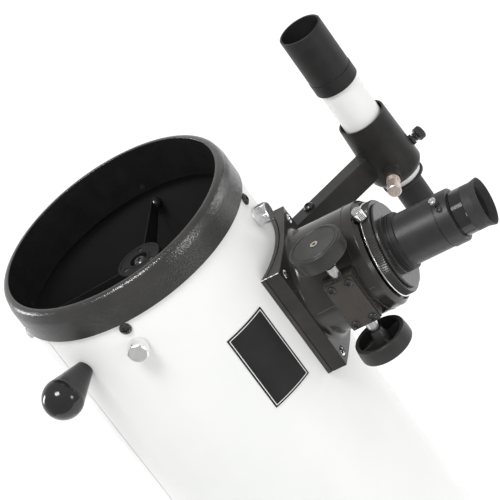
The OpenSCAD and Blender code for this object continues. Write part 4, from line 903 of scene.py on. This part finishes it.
def drum_lip():
    """The housing's rounded end, hollow for the trim ring and notched for the clamp screw's head."""
    bore_r, start, end, proud = 37.6, DRUM_X - 4.2, DRUM_X + 2.6, 0.03
    notch_r, inward = 5.0, 2.5
    notch = bmesh.new()
    rod(notch, notch_r, 30, 50, focuser_radial(CLAMP_TURN, CLAMP_X - inward), segments=48)
    turned("lip_of_drum",
           [(bore_r, start), (DRUM_R - 0.3, start), (DRUM_R + proud, start + 0.4),
            (DRUM_R + proud, DRUM_X - 0.6, 2.2), (bore_r + 0.5, end, 0.5), (bore_r, end, 0.2)],
           on_focuser(), CAST_BLACK, "tube", "black_alloy", cut=notch, segments=144)


def focuser_body():
    rounded_node("casting_of_focuser", "focuser_housing", 0.5, CAST_BLACK, "tube")
    low, high = span("focuser_base_screws")
    head, height = 7.2, 2.4
    places = [place((high.x - height, y, z), (1, 0, 0))
              for y in (low.y + head / 2, high.y - head / 2)
              for z in (low.z + head / 2, high.z - head / 2)]
    # The base screws' slots get black inserts: painted shade.
    screws("screws_of_base", "focuser_base_screws", places, (head, height, 4, 9), CHROME, "tube",
           turn=30, dark=True)


def pinion_mount():
    low, high = span("pinion_cover")
    size = high - low
    at = place(((low.x + high.x) / 2, high.y, FOCUS_Z), (0, -1, 0), (1, 0, 0))
    bm = bmesh.new()
    prism(bm, rectangle(size.x, size.z), 0, size.y, at, bevel=0.35)
    piece("cover_of_pinion", bm, COVER_BROWN, "tube", ("pinion_cover",))
    inset = 4.2
    places = [at @ move(x, y, size.y)
              for x in (inset - size.x / 2, size.x / 2 - inset)
              for y in (inset - size.z / 2, size.z / 2 - inset)]
    screws("screws_of_cover", "pinion_cover_screws", places, (6.2, 2.0, 3, 6), BLACK_STEEL, "tube",
           turn=10)
    bush_r, shaft_r, start, end = 4.4, 3.05, 12, 31
    bm = bmesh.new()
    for side in (-1, 1):
        lathe(bm, [(shaft_r, start), (bush_r, start), (bush_r, end - 0.5), (bush_r - 0.5, end),
                   (shaft_r, end)], on_pinion(side), closed=True, segments=64)
    piece("bushes_of_pinion", bm, CHROME, "tube", ("pinion_bushes",))


def focus_knobs():
    knob_r, knob_h, rim, hub_r, shaft_r, turn = 20.6, 12.5, 3, 6.5, 3.02, 31
    spoke_w, dimple_r, dimple = 2, 1.3, 1.5
    inside = knob_r - rim - 0.8
    shaft, dimples, dimple_shade = softened("pinion_shaft", 0.15), bmesh.new(), bmesh.new()
    for name, side in (("front", 1), ("rear", -1)):
        near, face = sorted(abs(z - FOCUS_Z) for z in limits("focus_knob_" + name, "z"))
        back, web = face - knob_h, face - 3
        at = on_pinion(side) @ spin(side * turn)
        bm = bmesh.new()
        lathe(bm, [(shaft_r, near), (hub_r - 2.2, near, 0.4), (hub_r, back + 3), (hub_r, web, 0.8),
                   (inside, web, 0.8), (inside, back, 0.5), (knob_r - 0.8, back, 0.8),
                   (knob_r, back + knob_h / 2), (knob_r, face, 1.4),
                   (knob_r - 2.6, face - 0.05, 0.3), (knob_r - 3.0, face - 0.5),
                   (knob_r - 3.6, face - 0.5), (knob_r - 4.0, face - 0.1), (5, face - 0.4),
                   (shaft_r, face - 0.4)],
              at, closed=True, segments=128, steps=8)
        for quarter in (0, 90):
            for way in (-1, 1):
                spoke = at @ spin(quarter) @ move(way * (hub_r + inside) / 2)
                outline = rectangle(inside - hub_r + 0.8, spoke_w)
                prism(bm, outline, back + 2, web + 0.3, spoke, bevel=0.3)
        piece("knob_grip_" + name, bm, MOULDED, "pinion", ("focus_knob_" + name,))
        rod(dimples, dimple_r, face - dimple, face + 1, at)
        # Painted shade: a black disc at the bottom of each dimple in the shaft's end.
        shade_r, floor_z = dimple_r - 0.05, face - dimple + 0.1
        lathe(dimple_shade, [(0, floor_z), (shade_r, floor_z), (shade_r, face - 0.6), (0, face - 0.7)], at,
              segments=32)
    piece("shaft_of_pinion", shaft, PALE_BRASS, "pinion", ("pinion_shaft",), cut=dimples)
    piece("shade_in_shaft_dimples", dimple_shade, MATT_BLACK_AND_SHADE, "pinion")


def drawtube():
    low, high = span("drawtube_trim_ring")
    thick, over, proud = high.x - low.x, 0.4, 0.8
    ring_low, ring_high = span("drawtube_clamp_ring")
    ring_r, deep = (ring_high.z - ring_low.z) / 2, ring_high.x - ring_low.x
    trim_r, lip_r = ring_r + proud, ring_r - 0.7
    turned("trim_of_drawtube",
           [(DRAW_R, 0), (ring_r - 0.4, 0, 0.3), (trim_r, thick * 0.7, 0.9),
            (trim_r, thick + over * 0.6, 0.6), (lip_r, thick + over, 0.1), (lip_r, thick),
            (DRAW_R, thick)],
           on_focuser(low.x), CHROME, "drawtube", "chrome", ("drawtube_trim_ring",),
           segments=160, steps=8)
    seat_r, seat, foot, edge = 25.5, deep - 2.4, 0.5, deep - 0.9
    hole = bmesh.new()
    rod(hole, 1.65, 28, 40, focuser_radial(CLAMP_TURN, CLAMP_X))
    turned("ring_of_clamp",
           [(DRAW_R, 0), (ring_r - 0.4, 0), (ring_r, foot), (ring_r, edge), (lip_r, deep, 0.3),
            (seat_r, deep), (seat_r, seat), (DRAW_R, seat)],
           on_focuser(ring_low.x), CLAMP_BLACK, "drawtube", "black_alloy",
           ("drawtube_clamp_ring",), cut=hole, knurl=(foot, edge, 128, 0.7))
    dress("drawtube", ANODISED)
    dress("drawtube_rack", BRASS)


def drawtube_screws():
    thumbscrew("grip_of_clamp", "drawtube_clamp_screw", focuser_radial(CLAMP_TURN, CLAMP_X),
               CHROME, "clamp_screw", start=25.7, shank_r=1.6, head_from=37.5,
               head_r=4.3, head_h=9, teeth=22, depth=0.55)
    thumbscrew("grip_of_eyepiece", "eyepiece_clamp_screw", on_holder("eyepiece_clamp_screw"),
               CHROME, "eyepiece_screw", start=16.15, shank_r=1.5,
               head_from=COLLAR_R + 0.3, head_r=3.1, head_h=5.5, teeth=12, depth=0.4)
    places = [on_holder("adapter_set_screw") @ move(0, 0, COLLAR_R)]
    screws("grub_of_adapter", "adapter_set_screw", places, (4.4, 1.6, 3, 4.5), BLACK_STEEL,
           "drawtube", turn=40)


def adapter():
    low, high = limits("eyepiece_adapter", "x")
    end = span("drawtube_clamp_ring")[1].x
    bore, rim_r, barrel_r, neck_r, flange_r, ribs_r = 15.9, 17.6, 25.4, 19.6, 32.8, 21.8
    start, step, neck, collar = end + 0.05, end + 2.4, end + 10, high - 12
    flange_in, flange_out, lap, ribs_in = ribs_r - 0.9, flange_r - 1.4, end + 0.7, ribs_r - 0.95
    turned("flange_of_adapter",
           [(flange_in, end + 0.06), (flange_out, end + 0.06), (flange_out, lap),
            (flange_r, lap, 0.2), (flange_r, step, 0.35), (ribs_r + 1.2, step),
            (ribs_r + 1, step + 0.4), (flange_in, step + 0.4)],
           on_focuser(), CLAMP_BLACK, "drawtube", "black_alloy", segments=144)
    outline = [(ribs_in, step + 0.41), (ribs_r, step + 0.41)]
    for groove in (step + 1.9, step + 4.0):
        outline += [(ribs_r, groove, 0.1), (ribs_r - 0.6, groove), (ribs_r - 0.6, groove + 0.6),
                    (ribs_r, groove + 0.6, 0.1)]
    outline += [(ribs_r, neck, 0.5), (neck_r + 0.6, neck, 0.2), (neck_r + 0.6, neck - 0.15),
                (ribs_in, neck - 0.15)]
    turned("ribs_of_adapter", outline, on_focuser(), ANODISED, "drawtube", "black_alloy",
           segments=144)
    holes = bmesh.new()
    for node in HOLDER_SCREWS:
        rod(holes, 1.55, 14, 24, on_holder(node))
    turned("body_of_adapter",
           [(bore, low), (barrel_r, low, 0.4), (barrel_r, start), (ribs_r - 1, start),
            (ribs_r - 1, neck - 0.2), (neck_r + 0.5, neck - 0.2, 0.2), (neck_r, neck + 0.6),
            (neck_r, collar, 0.15), (neck_r - 0.4, collar, 0.1), (neck_r - 0.4, collar + 0.8, 0.1),
            (COLLAR_R, collar + 0.8, 0.4), (COLLAR_R, high - 0.2, 1.0), (rim_r, high, 0.3),
            (rim_r - 0.2, high - 0.5), (bore, high - 0.5)],
           on_focuser(), SATIN_BLACK, "drawtube", "black_alloy", ("eyepiece_adapter",), cut=holes,
           segments=144)


def eyepiece():
    lens_r, wall = 10, 2
    low, high = span("eyepiece_body")
    body_r = (high.z - low.z) / 2
    turned("band_of_eyepiece",
           [(lens_r, low.x), (body_r - 0.6, low.x), (body_r - 0.6, low.x + 0.5),
            (body_r, low.x + 0.9, 0.2), (body_r, high.x - 0.5, 0.2), (body_r - 0.4, high.x),
            (lens_r, high.x)],
           on_focuser(), GLOSS_BLACK, "eyepiece", "black_alloy", ("eyepiece_body",), segments=128)
    low, high = span("eyecup")
    rim_r, skirt_r, straight = (high.z - low.z) / 2, body_r - 0.1, high.x - 5.4
    turned("cup_of_rubber",
           [(lens_r, low.x), (skirt_r, low.x, 0.2), (skirt_r, straight, 4),
            (rim_r - 0.4, high.x - 0.6, 0.4), (rim_r - 0.2, high.x, 0.2), (rim_r - 0.9, high.x, 0.3),
            (skirt_r - wall, straight, 3), (skirt_r - wall, low.x + 3.3, 0.6),
            (lens_r, low.x + wall, 0.3)],
           on_focuser(), RUBBER, "eyepiece", "rubber", ("eyecup",), segments=128, steps=8)
    dress("eyepiece_barrel", CHROME)
    dress("eyepiece_lenses", LENS)


# The finder


def finder_shoe():
    rounded_node("shoe_of_finder", "finder_shoe", 0.4, BRACKET, "tube")
    screw_out = 98
    turn = spin(FINDER_ANGLE)
    at = place(turn @ Vector((screw_out, 0, middle("finder_shoe").z)), turn @ Vector((0, 1, 0)))
    thumbscrew("grip_of_shoe", "finder_shoe_clamp_screw", at, MOULDED, "shoe_screw",
               start=11.3, shank_r=2.5, head_from=16, head_r=6.5, head_h=9,
               teeth=24, depth=0.5)


def finder_bracket():
    rounded_node("bracket_of_finder", "finder_bracket", 0.7, BRACKET, "finder")
    spot, head_h = middle("finder_arm_screw"), 3.6
    places = [place((spot.x, spot.y, span("finder_arm_screw")[1].z - head_h), (0, 0, 1), (1, 0, 0))]
    screws("screw_of_stalk", "finder_arm_screw", places, (8.4, head_h, 4, 8), BLACK_STEEL, "finder",
           turn=15)
    collar = [(1.9, 24.4), (3.4, 24.4, 0.3), (3.4, 26.2, 0.3), (1.9, 26.2)]
    for letter, turn in (("a", ALIGN_TURN), ("b", ALIGN_TURN + 120)):
        thumbscrew("grip_of_align_" + letter, "finder_thumbscrew_" + letter, finder_radial(turn),
                   MOULDED, "thumbscrew_" + letter, start=15.6, shank_r=2.0,
                   head_from=26.8, head_r=5.2, head_h=5.5, teeth=20, depth=0.4, collar=collar)
    rounded_node("nuts_of_align", "finder_locknuts", 0.25, BLACK_STEEL, "finder")


def plunger():
    at = finder_radial(ALIGN_TURN - 120)
    bore, cap_r, waist_r, sleeve_r = 2.55, 5.2, 3.8, 4.1
    start, waist_in, waist_out, end, floor_z = 17.5, 32, 38.1, 46.5, 44.4
    turned("cap_of_plunger",
           [(bore, start), (cap_r, start), (cap_r, waist_in, 0.3), (waist_r, waist_in + 0.2),
            (waist_r, waist_out - 0.2), (cap_r, waist_out, 0.2), (cap_r, end - 0.8, 0.3),
            (cap_r - 0.7, end, 0.3), (1.2, end, 0.1), (1.0, end - 0.5), (0, end - 0.5),
            (0, floor_z), (bore, floor_z)],
           at, NICKEL, "finder", "chrome", ("finder_plunger_barrel",), segments=64)
    turned("sleeve_of_plunger",
           [(waist_r - 0.1, waist_in + 0.1), (sleeve_r, waist_in + 0.1),
            (sleeve_r, waist_out - 0.1), (waist_r - 0.1, waist_out - 0.1)],
           at, NICKEL, "finder", "chrome", segments=64)
    dress("finder_plunger_pin", ALLOY)


def finder_tube():
    bore, hole, cap_r, cap_h, eye_r, plug_r = 15.35, 8.75, 16.7, 2.5, 11.75, 14.25
    low, high = span("finder_dew_shield")
    dew_r = (high.x - low.x) / 2
    turned("shield_of_finder",
           [(bore, low.z), (dew_r, low.z, 0.12), (dew_r, high.z, 0.6), (bore, high.z, 0.5)],
           on_finder(), ANODISED, "finder_cell", "black_alloy", ("finder_dew_shield",),
           segments=128)
    low, high = span("finder_lock_ring")
    lock_r = (high.x - low.x) / 2
    turned("lock_of_finder",
           [(bore, low.z), (lock_r, low.z, 1.2), (lock_r, high.z, 0.2), (bore, high.z)],
           on_finder(), ANODISED, "finder_lock", "black_alloy", ("finder_lock_ring",),
           segments=128)
    low, high = limits("finder_eyepiece", "z")
    rim = span("finder_tube")[0].z
    turned("eyepiece_of_finder",
           [(hole, low), (eye_r + 1.2, low, 0.5), (eye_r + 1.4, low + 2, 0.5), (eye_r, low + 13, 6),
            (eye_r, rim - cap_h, 0.8), (cap_r, rim - cap_h, 0.6), (cap_r, rim, 0.4), (plug_r, rim),
            (plug_r, high), (hole, high)],
           on_finder(), ANODISED, "finder", "black_alloy", ("finder_eyepiece",))
    dress("finder_tube", WHITE_PAINT)
    dress("finder_o_ring", RUBBER)
    dress("finder_objective", LENS)
    dress("finder_eye_lens", LENS)


# The stage: floor, light and camera


def ray_kind(rays, *kinds):
    """A value that is 1 for the named kinds of ray and 0 for all others."""
    value = rays[kinds[0]]
    for kind in kinds[1:]:
        value = compute("Math", "MAXIMUM", value, rays[kind])["Value"]
    return value


def studio_sky():
    """A room that is white behind the object, and dimmer above and on the other sides."""
    white_way, dim, bright, ambient = (-0.2, 0.8, -0.5), 0.5, 1.0, 0.8
    world = bpy.data.worlds.new("studio")
    world.use_nodes = True
    bpy.context.scene.world = world
    sky = world.node_tree.nodes["Background"].inputs
    coords = add_node(sky["Color"], "TexCoord").outputs["Generated"]
    rays = add_node(sky["Color"], "LightPath").outputs
    way = compute("VectorMath", "DOT_PRODUCT", coords, white_way)["Value"]
    room = ranged(way, (0.15, 0.7), (dim, bright))
    lit = mixed(ray_kind(rays, "Is Glossy Ray"), ambient, room, "FLOAT")
    seen = ray_kind(rays, "Is Camera Ray", "Is Transmission Ray")
    fill(sky, Color=(1, 1, 1, 1), Strength=mixed(seen, lit, 1.0, "FLOAT"))


def floor():
    half, near, far, glow = 1.6, -1.2, 20.0, 0.3
    corners = [(-half, near, 0), (half, near, 0), (half, far, 0), (-half, far, 0)]
    mesh = bpy.data.meshes.new("floor")
    mesh.from_pydata(corners, [], [(0, 1, 2, 3)])
    obj = add_object("floor", mesh)
    material, shader, coords = nodes_of("pale_floor")
    rays = add_node(coords, "LightPath").outputs
    seen = ray_kind(rays, "Is Camera Ray", "Is Glossy Ray", "Is Transmission Ray")
    fill(shader, Base_Color=(*grey(0.82), 1), Roughness=0.9, Emission_Color=(1, 1, 1, 1),
         Emission_Strength=ranged(seen, (0, 1), (0, glow)))
    mesh.materials.append(material)


def softbox(name, way, size, power):
    """A soft lamp in a direction from the tube's mouth, its size in metres and its power in watts."""
    target, distance = Vector((0, 0, FRONT - 60)) * MM, 2.4
    lamp = bpy.data.lights.new(name, "AREA")
    lamp.shape = "RECTANGLE"
    lamp.size, lamp.size_y = size
    lamp.energy = power
    obj = add_object(name, lamp)
    way = Vector(way).normalized()
    obj.location = target + way * distance
    obj.rotation_mode = "QUATERNION"
    obj.rotation_quaternion = way.to_track_quat("Z", "Y")


def lights():
    softbox("key", (0, -0.42, 0.9), (0.9, 0.7), 38)
    softbox("left", (-0.93, 0.28, 0.23), (0.4, 1.0), 19)
    softbox("right", (0.9, -0.44, 0.0), (0.5, 0.5), 7.5)
    softbox("right_rear", (0.89, 0.43, -0.12), (0.4, 0.4), 5.5)


def camera():
    azimuth, elevation, roll = 21.4924, 27.2421, -36.3736
    spot = (0.966, -2.2684, 2.3626)
    pixels, sensor, focal_pixels = 500, 36, 3862
    data = bpy.data.cameras.new("camera")
    data.sensor_width = sensor
    data.lens = focal_pixels * sensor / pixels
    data.clip_end = 100
    obj = add_object("camera", data)
    obj.matrix_world = move(*spot) @ spin(azimuth) @ spin(90 - elevation, "X") @ spin(roll)
    bpy.context.scene.camera = obj


dress("main_tube", TUBE_PAINT)
front_ring()
rear_ring()
ring_screws()
tube_seam()
label_plate()
guide_handle()
altitude_hubs()
spider()
secondary()
primary_cell()
springs()
base_pad()
painted_edge_highlight()
drum_skirt()
drum_lines()
drum_lip()
focuser_body()
pinion_mount()
focus_knobs()
drawtube()
drawtube_screws()
adapter()
eyepiece()
finder_shoe()
finder_bracket()
plunger()
finder_tube()
studio_sky()
floor()
lights()
camera()
bpy.context.scene.view_settings.view_transform = "Standard"
